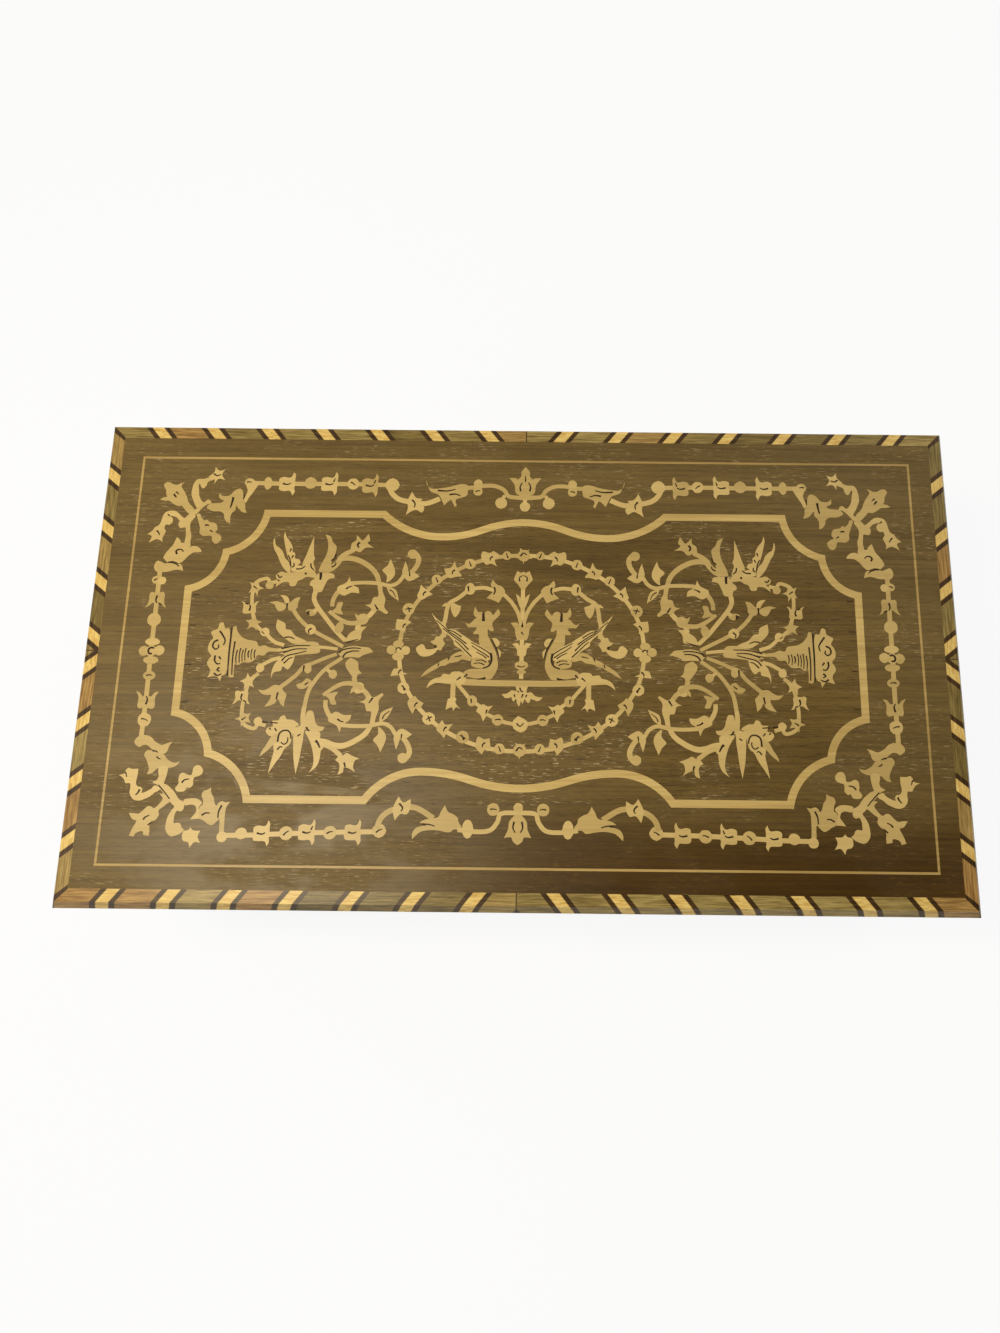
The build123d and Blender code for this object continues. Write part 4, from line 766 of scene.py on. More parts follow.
def flowing(points, closed, steps=4):
    """A line that runs smoothly through the points, and turns sharply at one marked as a tip."""
    line = []
    total = len(points)
    spans = total if closed else total - 1
    for i in range(spans):
        first, second = points[i], points[(i + 1) % total]
        before = points[i - 1] if (closed or i > 0) and len(first) == 2 else first
        after = points[(i + 2) % total] if (closed or i + 2 < total) and len(second) == 2 else second
        for step in range(steps):
            t = step / steps
            line.append(tuple(
                0.5 * (2 * first[k] + (second[k] - before[k]) * t
                       + (2 * before[k] - 5 * first[k] + 4 * second[k] - after[k]) * t * t
                       + (3 * first[k] - before[k] - 3 * second[k] + after[k]) * t * t * t)
                for k in (0, 1)
            ))
    if not closed:
        line.append(tuple(points[-1][:2]))
    return line


def saw(group, outline, twin=True, engraved=False):
    """One flat piece with that outline, and its twin. Each lies a little higher than the one before."""
    pieces = (engraved_groups if engraved else cut_groups).setdefault(group, [])
    tone = hand.random()
    lift = (engraved_lift if engraved else cut_lift) + next(cut_numbers) * cut_step
    for side in ((1, -1) if twin else (1,)):
        sheet = bpy.data.curves.new(group, "CURVE")
        sheet.dimensions = "2D"
        sheet.fill_mode = "BOTH"
        sheet.extrude = cut_half
        spline = sheet.splines.new("POLY")
        spline.points.add(len(outline) - 1)
        for point, (x, y) in zip(spline.points, outline):
            point.co = (side * x * mm, y * mm, 0.0, 1.0)
        spline.use_cyclic_u = True
        piece = bpy.data.objects.new(group, sheet)
        piece.location.z = lid_top + lift
        piece["tone"] = tone
        bpy.context.scene.collection.objects.link(piece)
        pieces.append(piece)


def shape(group, points, twin=True):
    """A piece with a smooth outline and sharp tips, with the slight unevenness of hand sawing."""
    uneven = []
    for p in points:
        x = p[0] + hand.uniform(-sawing_slip, sawing_slip)
        y = p[1] + hand.uniform(-sawing_slip, sawing_slip)
        uneven.append((x, y) + tuple(p[2:]))
    saw(group, flowing(uneven, True), twin)


def shapes(group, *outlines):
    """Several such pieces, one after the other."""
    for points in outlines:
        shape(group, points)


def middle_shape(group, half):
    """A piece on the middle line, given by its left half from bottom to top."""
    other = [(-p[0],) + tuple(p[1:]) for p in reversed(half) if abs(p[0]) > 0.05]
    saw(group, flowing(list(half) + other, True), twin=False)


def ribbon(points, width, end_width=None):
    """The outline of a strip that follows the points, with its width at the start and at the end."""
    line = flowing(points, False)
    last = width if end_width is None else end_width
    left_side = []
    right_side = []
    for i, (x, y) in enumerate(line):
        x0, y0 = line[max(i - 1, 0)]
        x1, y1 = line[min(i + 1, len(line) - 1)]
        length = hypot(x1 - x0, y1 - y0) or 1.0
        half = 0.5 * (width + (last - width) * i / (len(line) - 1))
        nx = -(y1 - y0) / length * half
        ny = (x1 - x0) / length * half
        left_side.append((x + nx, y + ny))
        right_side.append((x - nx, y - ny))
    return left_side + right_side[::-1]


def stem(group, points, width=1.8, end_width=None, twin=True):
    """A strip that follows the points."""
    saw(group, ribbon(points, width, end_width), twin)


def engrave(points, width=0.75, end_width=None, twin=True):
    """A dark stroke cut into the pieces, half as wide at its end if nothing else is said."""
    last = width * 0.5 if end_width is None else end_width
    saw("engraving", ribbon(points, width, last), twin, engraved=True)


def bead(group, x, y, across, up=None, twin=True, cut=True):
    """A round piece, a little out of true, mostly with a short engraved stroke."""
    up = across if up is None else up
    outline = []
    for i in range(bead_sides):
        angle = 2 * pi * i / bead_sides
        edge_x = x + across * hand.uniform(bead_low, bead_high) * cos(angle)
        edge_y = y + up * hand.uniform(bead_low, bead_high) * sin(angle)
        outline.append((edge_x, edge_y))
    saw(group, outline, twin)
    if cut and hand.random() < 0.45:
        angle = hand.uniform(-0.9, 0.9)
        dx = 0.5 * across * cos(angle)
        dy = 0.5 * across * sin(angle)
        engrave([(x - dx, y - dy), (x, y + 0.25), (x + dx, y + dy)], 0.6, twin=twin)


def turned(points, x, y, turn, size=1.0):
    """A motif's points put at a place, turned by degrees."""
    c = cos(radians(turn)) * size
    s = sin(radians(turn)) * size
    return [(x + c * p[0] - s * p[1], y + s * p[0] + c * p[1]) + tuple(p[2:]) for p in points]


def leaf(group, base, end, width, bow=0.0, cut=False, twin=True):
    """A pointed leaf from its base to its tip, bowed to the left by that much."""
    dx, dy = end[0] - base[0], end[1] - base[1]
    length = hypot(dx, dy)
    nx, ny = -dy / length, dx / length
    mid = (base[0] + 0.45 * dx + bow * nx, base[1] + 0.45 * dy + bow * ny)
    shape(group, [(base[0], base[1], tip), (mid[0] + nx * width / 2, mid[1] + ny * width / 2),
                  (end[0], end[1], tip), (mid[0] - nx * width / 2, mid[1] - ny * width / 2)], twin)
    if cut:
        first = (base[0] + 0.25 * dx, base[1] + 0.25 * dy)
        last = (base[0] + 0.75 * dx, base[1] + 0.75 * dy)
        engrave([first, mid, last], 0.5, twin=twin)


# motifs that come back along the garlands, drawn pointing to the right
horned_flower = [
    (-3.3, 0.9), (-3.1, 2.6), (-1.2, 3.2), (0.8, 2.9), (1.9, 3.4), (2.7, 5.4, tip), (3.4, 4), (3.3, 1.8),
    (3.5, 0), (3.3, -1.8), (3.4, -3.6), (2.5, -5.2, tip), (1.7, -3.4), (0.6, -3), (-1.2, -3.2),
    (-3.1, -2.7), (-3.3, -0.9), (-2.6, 0, tip),
]
bell = [
    (-3.2, -0.9), (-3.4, -2.6), (-2.4, -3.4), (0.2, -3.3), (1.9, -3.6), (3.6, -4.7, tip), (3, -2.9),
    (1.6, -1.7), (1.7, 0), (1.6, 1.7), (3, 2.9), (3.6, 4.7, tip), (1.9, 3.6), (0.2, 3.3), (-2.4, 3.4),
    (-3.4, 2.6), (-3.2, 0.9),
]
star_flower = [
    (0.2, 4.2, tip), (-1, 1.8), (-4, 0.6, tip), (-1.8, -0.9), (-2.4, -3.8, tip), (0, -2),
    (2.6, -3.4, tip), (2, -0.6), (4, 1.4, tip), (1.4, 1.8),
]


def garland_flower(group, x, y, turn=0.0, size=1.0, motif=horned_flower):
    """A motif of the garlands with its engraved strokes."""
    shape(group, turned(motif, x, y, turn, size))
    engrave(turned([(-1.8, 0.15), (0.2, -0.3), (1.6, 0.3)], x, y, turn, size), 0.75)
    if hand.random() < 0.6:
        engrave(turned([(1.7, 1.0), (2.3, 2.6)], x, y, turn, size), 0.6)


# Top garland with its centre tulip
top = "top_garland"
stem(top, [(-117, 73.8), (-104, 73.6), (-90, 73.6), (-73, 73.7), (-57, 73.4)], 1.9)
for x, y, across, up in (
    (-117, 74, 2, 2), (-109, 73.7, 1.8, 2.8), (-91, 74, 2.7, 2.7), (-73, 73.8, 2.5, 2.6),
    (-56.3, 73.5, 3, 3),
):
    bead(top, x, y, across, up)
for x, y in ((-101, 73.5), (-83, 73.6), (-65.8, 73.1)):
    garland_flower(top, x, y)
stem(top, [(-57.5, 73), (-56.5, 70), (-53.5, 67.2), (-49, 66), (-42, 65.2), (-36, 67.5)], 2.2)
shape(top, [
    (-49.5, 66.5), (-47.7, 70.5, tip), (-46, 67.8), (-43.3, 67.3, tip), (-44.3, 65.2), (-42.3, 63.5),
    (-43.2, 61.3), (-45.6, 62.3), (-47.5, 61.8), (-50, 60, tip), (-49.3, 63.2),
])
engrave([(-47.6, 66.8), (-46.4, 65.2), (-46.6, 63.4)])
shape(top, [
    (-42.2, 76, tip), (-41.5, 73.5), (-39.5, 72.1), (-35, 72.3), (-31, 73.2), (-27.5, 74.1),
    (-24.8, 73.8), (-24.2, 72.2), (-24.2, 70.6), (-25, 68.8), (-29.2, 67.2), (-28.8, 64.3, tip),
    (-29.8, 63.9, tip), (-30.5, 65.8), (-31.6, 66.9), (-34, 64.6, tip), (-35, 66.6), (-36.5, 69.2),
    (-38.5, 70), (-40.3, 71.2),
])
engrave([(-37, 71.2), (-33, 71), (-29.5, 71.8)])
engrave([(-32, 69.3), (-29.5, 69.6), (-27.3, 68.9)])
stem(top, [
    (-24.4, 72.6), (-20, 72.8), (-17.5, 73.5), (-13, 73.5), (-9, 71.7), (-7, 68.9), (-3, 68.3), (0, 68),
])
bead(top, -20, 74.5, 1.9)
bead(top, -20, 71, 2)
bead(top, -10, 65.8, 2.6)
stem(top, [(-8.6, 69.2), (-9.6, 67.4), (-9.8, 66)], 1.5)
bead(top, 0, 64.2, 2.2, twin=False)
stem(top, [(0, 68), (0, 65)], 1.6, twin=False)
middle_shape(top, [
    (0, 67.2), (-1.5, 68.7), (-4, 70.5), (-4.5, 74), (-6.8, 77.2, tip), (-4.3, 77.2), (-3.2, 76.5, tip),
    (-1.8, 78), (-1.8, 80), (0, 82.3, tip),
])
engrave([(-1.9, 71.2), (-2.2, 73.2), (-1.3, 75.2)])
engrave([(0, 75.5), (0, 78.2)], 0.6, twin=False)

# Upper corner sprigs
upper = "upper_corner_sprigs"
# the hook with a star at its end, and the stem with a bud that drops to the large flower
shapes(upper, [
    (-142.6, 57), (-144.1, 58.6), (-145.7, 60.1), (-147.2, 60.8), (-149.2, 60.9), (-150.8, 60.3),
    (-152, 58.5), (-152.5, 56.6), (-153, 54.4), (-154.7, 53.4, tip), (-155.7, 51.8), (-157.6, 50.3, tip),
    (-155.7, 49.4), (-156.7, 46.4, tip), (-153.9, 48), (-152.3, 47.8), (-150.8, 46.9, tip), (-151.1, 49),
    (-150.1, 51.5), (-150.8, 52.8), (-150.4, 54.6), (-148.8, 54.6), (-147.7, 56), (-147.9, 57.6),
    (-148.9, 58.4), (-147.6, 58.4), (-146, 57.6), (-144.7, 56.4),
], [
    (-138.2, 58.4), (-139.4, 60), (-141.4, 58.8), (-143, 57.4), (-144.6, 56.6), (-145.2, 54.7),
    (-144.1, 53.1), (-142.1, 53.4), (-141.7, 51.9), (-141.5, 49.3), (-141.8, 47), (-141.4, 45),
    (-139.2, 44.9), (-139.3, 47.4), (-139.1, 49.9), (-139.8, 52.5), (-140.2, 55), (-139.3, 56.8),
], [
    (-145.2, 49.1, tip), (-143.7, 48), (-143.1, 46.6), (-141.6, 46.4), (-139.3, 44.7), (-138.3, 45.2),
    (-136.4, 45.2), (-134.8, 43.9), (-134.2, 42.6, tip), (-135.8, 42.6), (-137.7, 42.3), (-139.6, 40.7),
    (-141.2, 38.9), (-142.8, 37.8), (-144.7, 38.3), (-146.3, 38.5), (-147.6, 38), (-149, 38.8),
    (-149.7, 40.2), (-148.2, 43.2), (-146.6, 45.5), (-145.7, 47.4),
], [
    (-153.1, 36.9), (-152.3, 38.5), (-150.8, 38.3), (-148.8, 37.5), (-146.6, 37.8), (-144.6, 37.2),
    (-142.6, 37.3), (-141.5, 36.2), (-141, 34.2, tip), (-142.8, 34.6), (-144.7, 34.6), (-147.2, 34),
    (-149.5, 33.7), (-151.8, 33.8), (-153.1, 35.3),
])
# the trumpet, the hooked stem with the upper star, and the short stem that crosses them
shapes(upper, [
    (-153.1, 72.4), (-152, 73.9, tip), (-150.4, 73.5), (-149.2, 72.7), (-147.2, 72.7), (-145.7, 73.4),
    (-144.4, 73.9, tip), (-145.6, 72.2), (-143.9, 69.4), (-142.8, 67.2), (-142.1, 65.2), (-140.9, 63.7),
    (-139.6, 62.1), (-138.3, 60.1), (-140.2, 59.2), (-141.8, 60.1), (-143.4, 61.9), (-144.7, 63.2),
    (-146.3, 62.9), (-148.2, 64), (-150.1, 65.2), (-151.7, 65.4), (-153.9, 65.6, tip), (-152.7, 66.8),
    (-151.2, 67.1), (-151.7, 68.3), (-152, 70.3),
], [
    (-137.4, 61.6), (-139, 63.7), (-140.1, 65.9), (-140.9, 68.4), (-140.9, 71.3), (-140.2, 73.5),
    (-139, 75.1), (-136.4, 75.3), (-134.5, 75.9), (-132, 77), (-131.4, 75.4), (-134.5, 74.2),
    (-135, 72.4), (-136.1, 71.1), (-137, 71.6), (-137.9, 73), (-138.4, 72.4), (-138, 70.3),
    (-137.7, 67.8), (-136.4, 65.6), (-135.2, 64.4), (-136, 62.6),
])
shape(upper, turned(star_flower, -130.8, 77.2, 20, 0.95))
shape(upper, [
    (-142.6, 57.2), (-140.2, 58.2), (-137.7, 59.8), (-135.8, 62.1), (-133.9, 63.8), (-132.3, 64.3),
    (-132.9, 65.6), (-133.9, 66, tip), (-135.1, 64.9), (-136.4, 64), (-137.7, 62.4), (-139.6, 60.6),
    (-141.5, 58.9),
])
# the flower on the right and the stem that carries on to the top garland
shapes(upper, [
    (-133.9, 62.4), (-132.6, 64.2), (-130.3, 64.4), (-128.1, 64.8), (-126.9, 65.8), (-128.1, 66),
    (-129.1, 67.2), (-129.1, 69.1, tip), (-127.8, 67.8), (-125.9, 67.8), (-124.3, 68.4), (-122.7, 70.2),
    (-120.9, 71.1), (-119.8, 70.5), (-119, 68.4), (-118.9, 66.2), (-117.9, 64), (-117.7, 62.1),
    (-116.8, 60.1, tip), (-118.9, 60.6), (-120.5, 62.1), (-121.6, 63.3), (-121.9, 61.4), (-123, 60.1),
    (-123.6, 58.2), (-123.5, 55.4, tip), (-125.1, 56.3), (-126.2, 58.2), (-126.5, 59.5), (-128.1, 60.6),
    (-130.7, 60.8), (-132.6, 61.4),
], [
    (-118.2, 74.5), (-117.3, 75.4), (-115.7, 75.6), (-114.4, 74.6), (-113, 74.2), (-113.2, 72.7),
    (-114.1, 71), (-115.4, 68.8), (-116.6, 66.8), (-117.6, 64.8), (-118.6, 65.9), (-118.2, 67.8),
    (-117.3, 70.3), (-117.9, 71.9),
])
# the loose leaf and its bead
shape(upper, [
    (-137.9, 59.3), (-136.4, 59.6), (-135.8, 57.9), (-134.5, 56.6), (-133.2, 57), (-132.1, 56),
    (-130.3, 55.7), (-128.9, 54.7), (-128.6, 52.8), (-129.4, 51.5), (-127.8, 50.6), (-126.5, 49.3),
    (-127.2, 47.1), (-128.8, 46.4), (-130.3, 47.7), (-130.8, 49.6), (-132.3, 49.9), (-134.5, 49.9),
    (-135.8, 51.2), (-135.9, 53.1), (-136.6, 55.7), (-137.4, 57.6),
])
for stroke, width in (
    ([(-148.4, 68.3), (-147.2, 66.8)], 0.9), ([(-147.6, 69.4), (-146.3, 68.4)], 0.7),
    ([(-150, 59.2), (-148.8, 58.3)], 0.6), ([(-153.9, 51.9), (-153, 51), (-152.5, 49.9)], 0.7),
    ([(-144.3, 41.6), (-144.8, 42.7), (-144, 43.6), (-142.6, 43.6), (-141.7, 42.7)], 0.8),
    ([(-147.6, 38), (-145.4, 37.8), (-143.9, 37.1), (-143, 36.2)], 0.7),
    ([(-123.2, 67.2), (-123.4, 65.2), (-124, 62.4)], 1), ([(-118.7, 68.6), (-118.8, 66.4)], 0.5),
    ([(-133.9, 54.4), (-133, 54.6), (-132.2, 54.2)], 0.8), ([(-131.6, 52.3), (-130.3, 51.5)], 0.6),
    ([(-132.4, 77.8), (-131, 76.9), (-129.4, 77.4)], 0.7),
):
    engrave(stroke, width, width * 0.5)

# Side garlands
outer = "side_garlands"
stem(outer, [(-150.6, 36), (-150.5, 18), (-150.5, 0), (-150.3, -18), (-150.5, -37)], 1.9)
bead(outer, -151.8, 30.3, 1.7)
bead(outer, -149.2, 30, 1.7)
garland_flower(outer, -150.6, 21.8, -90, 0.95, bell)
bead(outer, -150.7, 13.2, 2.8)
bead(outer, -150.3, 3.9, 3.1, 1.6, cut=False)
bead(outer, -150.1, -3.8, 3.2, 1.6, cut=False)
bead(outer, -153.4, 0, 2.1, cut=False)
bead(outer, -147.1, 0.3, 2.1, cut=False)
bead(outer, -150.4, 0, 2.2, cut=False)
engrave([(-149.4, 1.2), (-150.6, 1.4), (-151.6, 0.4), (-151.2, -1), (-150, -1.1)], 0.8, 0.7)
bead(outer, -150.1, -10.2, 2.5, 1.9)
garland_flower(outer, -150, -20.3, 90, 1, bell)
bead(outer, -150, -28.3, 2.8)

# Lower corner sprigs
lower = "lower_corner_sprigs"
# the hooked stem and the flower that hangs on it
shapes(lower, [
    (-153, -36.9), (-152.4, -35.7), (-151.1, -34.8), (-149.6, -34.5), (-147.8, -34.6), (-146.2, -35.4),
    (-145, -36.6), (-143.8, -37.5), (-141.9, -38.3), (-140.4, -37.8), (-137.8, -36.9, tip),
    (-138.9, -38.6), (-139.5, -40.6), (-140.4, -41.6), (-141.9, -41.6), (-143.8, -40.9), (-145.6, -40.1),
    (-146.8, -39), (-148.1, -38.4), (-149.6, -38.6), (-150.8, -39.2), (-151.9, -38.6), (-152.6, -38),
], [
    (-147.9, -40.9), (-146.8, -40.4), (-145.3, -40.6), (-143.5, -41.2), (-141.6, -41.5), (-140.4, -42.4),
    (-139.2, -43.9), (-137.7, -44.9), (-136.1, -45.3), (-134, -44.7, tip), (-135.1, -46.2),
    (-136.6, -47.2), (-138.1, -47.4), (-140.4, -47.3), (-142.6, -47.6), (-143.8, -48.8), (-145, -49.8),
    (-146.6, -50.1, tip), (-146.1, -48.2), (-146.5, -46.4), (-147.6, -44.2), (-148.4, -42.4),
])
engrave([(-145.3, -40.7), (-144.2, -40.8), (-143.2, -41.3)], 0.7)
engrave([(-143.5, -43), (-142.6, -43.7), (-141.8, -43.9)], 0.6)
# three stems that cross: one to the left flower, one to the trumpet, one to the curl and the star
shapes(lower, [
    (-142.9, -54.3), (-144.1, -55.6), (-146.2, -56.8), (-147.8, -57.3), (-147.6, -56.2), (-148.2, -55),
    (-149.6, -54.8), (-150.4, -53.4), (-150.2, -50.4), (-150.2, -47.8, tip), (-152.8, -47.9),
    (-154, -47.5), (-155, -48.7), (-155.4, -49.8), (-157.7, -50.4, tip), (-156.3, -51), (-155.4, -52.2),
    (-154.5, -53.6), (-152.7, -53.7), (-152.5, -55.6), (-152.5, -57.4), (-151.7, -59.2), (-150.2, -60.2),
    (-148.1, -60.3), (-146.2, -59.7), (-144.4, -58.6), (-142.9, -57.1), (-141.3, -56.5), (-140.6, -55.4),
], [
    (-140.4, -57.6), (-139.2, -59.5), (-140.4, -61.4), (-142.2, -63.2), (-143.5, -62.5), (-145, -62.6),
    (-146.5, -64.1), (-148.1, -65.5), (-149.9, -65.2), (-152, -65.1, tip), (-151.1, -66.6),
    (-150.2, -67.7), (-148.7, -68.1), (-149.4, -70), (-150.2, -71.8), (-150.8, -73.9, tip),
    (-149, -74.2, tip), (-148.4, -73), (-147.1, -72.3), (-145.6, -72.1), (-145.3, -73.5, tip),
    (-143.2, -73.8, tip), (-143.1, -71.8), (-143.3, -69.7), (-142.9, -68.4), (-141.3, -67.8),
    (-140.1, -66), (-140.4, -64.1), (-138.9, -62.9), (-137.4, -61.4), (-136, -60.2), (-137.2, -58),
], [
    (-141.9, -47), (-138.8, -47), (-138.6, -50), (-139.2, -52.2), (-139.4, -53.4), (-138, -54.3),
    (-135.8, -56), (-134.6, -57.4), (-133.4, -59.1), (-132.4, -60.1), (-131.2, -60.5), (-130.5, -62),
    (-130.9, -63.8), (-132, -64.3), (-133.1, -64), (-134, -65.7), (-134.1, -68.1), (-134, -69),
    (-132.6, -68.7), (-131.4, -69.2), (-130.8, -70.6), (-129.8, -71.5), (-131.5, -73), (-134, -73.9),
    (-135.8, -73.3), (-137, -71.2), (-137, -68.7), (-136.6, -66.3), (-135.5, -64.1), (-134.4, -62.6),
    (-135.5, -61.4), (-136.4, -60.2), (-138.2, -58.4), (-140.4, -56), (-142.2, -54.2), (-143.9, -53.2),
    (-142.4, -52.2), (-141.9, -50.6), (-142.1, -48.8),
])
engrave([(-141.6, -54.2), (-139, -56.8), (-136.6, -59.6)], 0.5, 0.4)
engrave([(-148.7, -56), (-149.2, -57.2), (-150.1, -58.2)], 0.8, 0.4)
engrave([(-155, -49.2), (-154.3, -51.2)], 0.5)
engrave([(-146, -67.7), (-145.3, -66.7), (-143.8, -66)], 0.7)
engrave([(-144, -69.8), (-142.8, -68.7)], 0.6)
shape(lower, [
    (-129.9, -72.1), (-128.3, -71.5), (-127.1, -70.4, tip), (-126, -71.5), (-123.3, -71.8, tip),
    (-124.1, -74), (-122.8, -76.4, tip), (-125.4, -76), (-126.9, -78.4, tip), (-127.7, -76.3),
    (-129.4, -75.8), (-130.3, -74.5),
])
# the loose leaf with its bead
shape(lower, [
    (-133.5, -50.1), (-132.2, -49.3), (-130.6, -50.1), (-128.8, -50), (-128.5, -47.6), (-127.6, -46.4),
    (-126, -46.4), (-124.7, -47.9), (-124.8, -49.7), (-126.3, -50.5), (-127.6, -51), (-128, -52.2),
    (-128, -54), (-129.1, -55.1), (-130.3, -55), (-131.2, -56.4), (-134, -56.6), (-134.9, -55.3, tip),
    (-133.8, -53.4), (-134, -52.2),
])
engrave([(-132.5, -53.2), (-131.5, -52.1), (-129.7, -51.7)], 0.7, 0.4)
# the flower with a long leaf on each side, and the stem down to the bottom garland
shapes(lower, [
    (-131.1, -59.9), (-129.4, -59.3), (-126.3, -59.3), (-124.2, -60.2), (-123.9, -61.4), (-124.8, -62.6),
    (-124.5, -64.1), (-123.6, -65.9), (-123.9, -67.1), (-125.4, -67.2), (-127.9, -67.5, tip),
    (-126.6, -65.7), (-125.7, -64.1), (-126.3, -62.3), (-127.9, -61.7), (-130, -62), (-130.8, -61.4),
], [
    (-124.6, -62.6), (-123.4, -61.6), (-123.6, -59.6), (-124.3, -58), (-123.6, -56.5), (-122, -55.7),
    (-120.8, -55, tip), (-120.5, -57.1), (-119.3, -58.9), (-118.7, -61.1), (-118, -62), (-117.2, -60.8),
    (-115.9, -60.2), (-114.6, -60.6), (-112.8, -60.4, tip), (-114, -62.6), (-114.3, -65), (-114.4, -68),
    (-114.2, -72.8), (-115.8, -72.8), (-116.2, -69), (-116.4, -67.2), (-117.6, -68.4), (-119.1, -69.7),
    (-120.8, -69), (-122.2, -67.9), (-123.9, -67), (-124.5, -65.4),
])
engrave([(-123.4, -65.8), (-122, -64.9), (-120.4, -64.9)], 0.7, 0.4)
engrave([(-115.9, -61.8), (-116.9, -64.2), (-117, -66.8)], 0.7, 0.4)

# Bottom garland with its hanging tulip
bottom = "bottom_garland"
stem(bottom, [(-115.4, -73.4), (-104, -73.2), (-90, -72.5), (-73, -71.8), (-55, -71.4)], 1.9)
bead(bottom, -114.8, -74, 2.1, cut=False)
for x, y, across in ((-107.4, -72.6, 2.3), (-90, -72.3, 2.7), (-73, -71.9, 2.6), (-53.9, -71, 2.7)):
    bead(bottom, x, y, across)
for x, y in ((-99.6, -72.5), (-82, -71.9), (-64.2, -71.8)):
    garland_flower(bottom, x, y, 0, 0.95)
stem(bottom, [(-54.8, -70), (-53.6, -66.4), (-50.6, -63.6), (-46, -62.2), (-40, -62), (-33, -66)], 2.2)
shape(bottom, [
    (-49.2, -62.4), (-47, -57.5, tip), (-45, -60), (-42.3, -58.7, tip), (-42.2, -61.8), (-43.6, -64.6),
    (-46, -64.4), (-48, -67, tip), (-48.6, -64.6),
])
engrave([(-46.6, -60.4), (-45.2, -62), (-45.8, -63.4)])
shape(bottom, [
    (-38.2, -67.8, tip), (-36.2, -66.5), (-33.2, -65.9), (-31.1, -65.6), (-30.2, -63.5),
    (-28.6, -60.8, tip), (-27.4, -63.5), (-25.3, -64.4), (-23.5, -65.6), (-23.2, -67.2), (-22, -69, tip),
    (-22.4, -70.5), (-24.7, -70.2), (-26.5, -71.4), (-30.2, -70.8), (-33.8, -70.5), (-37.4, -71.1),
    (-39.5, -72.6), (-40.9, -74.1, tip), (-41.1, -72), (-39.8, -69.9), (-37.7, -69), (-35.6, -68.7),
])
engrave([(-37.4, -68.2), (-34.6, -68.4), (-32.4, -69)], 0.6, 0.4)
bead(bottom, -19.5, -70, 2.2, 3.6)
stem(bottom, [(-23.4, -70.2), (-17, -71), (-11, -70.5), (-8, -67.2), (-6.6, -63.9), (0, -63.6)])
bead(bottom, -9.7, -62.4, 2.5)
bead(bottom, 0, -61.6, 1.9, twin=False)
middle_shape(bottom, [
    (0, -76, tip), (-1.8, -74.6), (-2.6, -73), (-5.3, -73.2, tip), (-3.8, -70), (-3.4, -67),
    (-1.4, -64.6), (0, -64),
])
engrave([(-1.5, -67), (-1.9, -69.4), (-1, -71.2)])

# Wreath round the medallion, drawn on the right half
wreath = "medallion_wreath"
wreath_middle = (0, 1.5)
wreath_half = (50, 41.2)
for quarter in (0, 1, 2, 3):
    arc = [radians(90 * quarter + 15 * i - 1.5 + 0.5 * i) for i in range(7)]
    stem(wreath, [
        (wreath_middle[0] + wreath_half[0] * cos(a), wreath_middle[1] + wreath_half[1] * sin(a))
        for a in arc
    ], 1.7, twin=False)
for x, y, across in (
    (7, 42.4, 1.9), (22.2, 38.6, 2.3), (35.8, 31.6, 2.2), (46.8, 18.8, 2.6), (47.3, -14.2, 2.4),
    (36.5, -26.6, 2.6), (22.8, -34, 2.6), (8, -38.5, 2.2),
):
    bead(wreath, x, y, across)
    engrave([(x - 0.5, y - 1.1), (x + 0.4, y + 1.1)], 0.6)
for outline in (
    [
        (10.2, 42.5), (12.8, 44.4, tip), (14.4, 43.4), (17.2, 44.2), (17.6, 41.2), (15.6, 38.4),
        (13.4, 38.8), (11.1, 37.8, tip), (12, 40.6),
    ],
    [
        (25.5, 33.4), (27.2, 35.8), (28.6, 39.6, tip), (30.2, 37), (33, 36.4, tip), (32, 33.8),
        (30.4, 32.4), (27.6, 33),
    ],
    [
        (37, 25.2, tip), (40, 27.4), (42.2, 29.4, tip), (42.8, 26.8), (43.6, 24.2), (41.4, 22.8),
        (39.2, 24.2),
    ],
    [
        (45.2, 13.2, tip), (47.2, 14), (51.4, 14.6, tip), (51.6, 10.6), (49.6, 9.8), (47.6, 9.2, tip),
        (47.3, 11.4),
    ],
    [
        (48, -5.2, tip), (48.4, -7.4), (45.8, -8.4, tip), (49, -9), (52.6, -9.4, tip), (51.8, -6.6),
        (50, -6.2),
    ],
    [
        (38.8, -20.4, tip), (41, -19), (42.4, -17.4, tip), (45, -19), (45.2, -21.4), (43.2, -24.9, tip),
        (41.8, -22.4), (40.3, -22.5),
    ],
    [
        (26.8, -28.6, tip), (29.6, -29), (31, -27.2, tip), (33.4, -30.8), (31.6, -32.8),
        (30.1, -34.5, tip), (28.8, -31.6),
    ],
    [
        (12, -34.2, tip), (14.2, -34.8), (16.6, -33.6), (17.4, -36), (17.2, -38.4), (15, -40.8, tip),
        (13.2, -38.2), (11.5, -38.4),
    ],
):
    shape(wreath, outline)
    x = sum((p[0] for p in outline)) / len(outline)
    y = sum((p[1] for p in outline)) / len(outline)
    engrave([(x - 0.9, y + 0.7), (x, y), (x + 0.2, y - 1.1)], 0.7)
for x, y in ((0, 42.5), (0, -39)):
    shape(wreath, turned(star_flower, x, y, 30, 0.86), twin=False)
    bead(wreath, x, y, 2.6, twin=False, cut=False)
    engrave([(x - 1.4, y - 0.3), (x - 0.2, y + 1.1), (x + 1.2, y + 0.3)], 0.7, twin=False)
for x, y, across, up in (
    (47.2, 1.3, 1.9, 1.9), (53, 1.5, 1.9, 1.9), (50.2, 4, 2.2, 1.6), (50.1, -1.2, 2.4, 1.8),
):
    bead(wreath, x, y, across, up, cut=False)
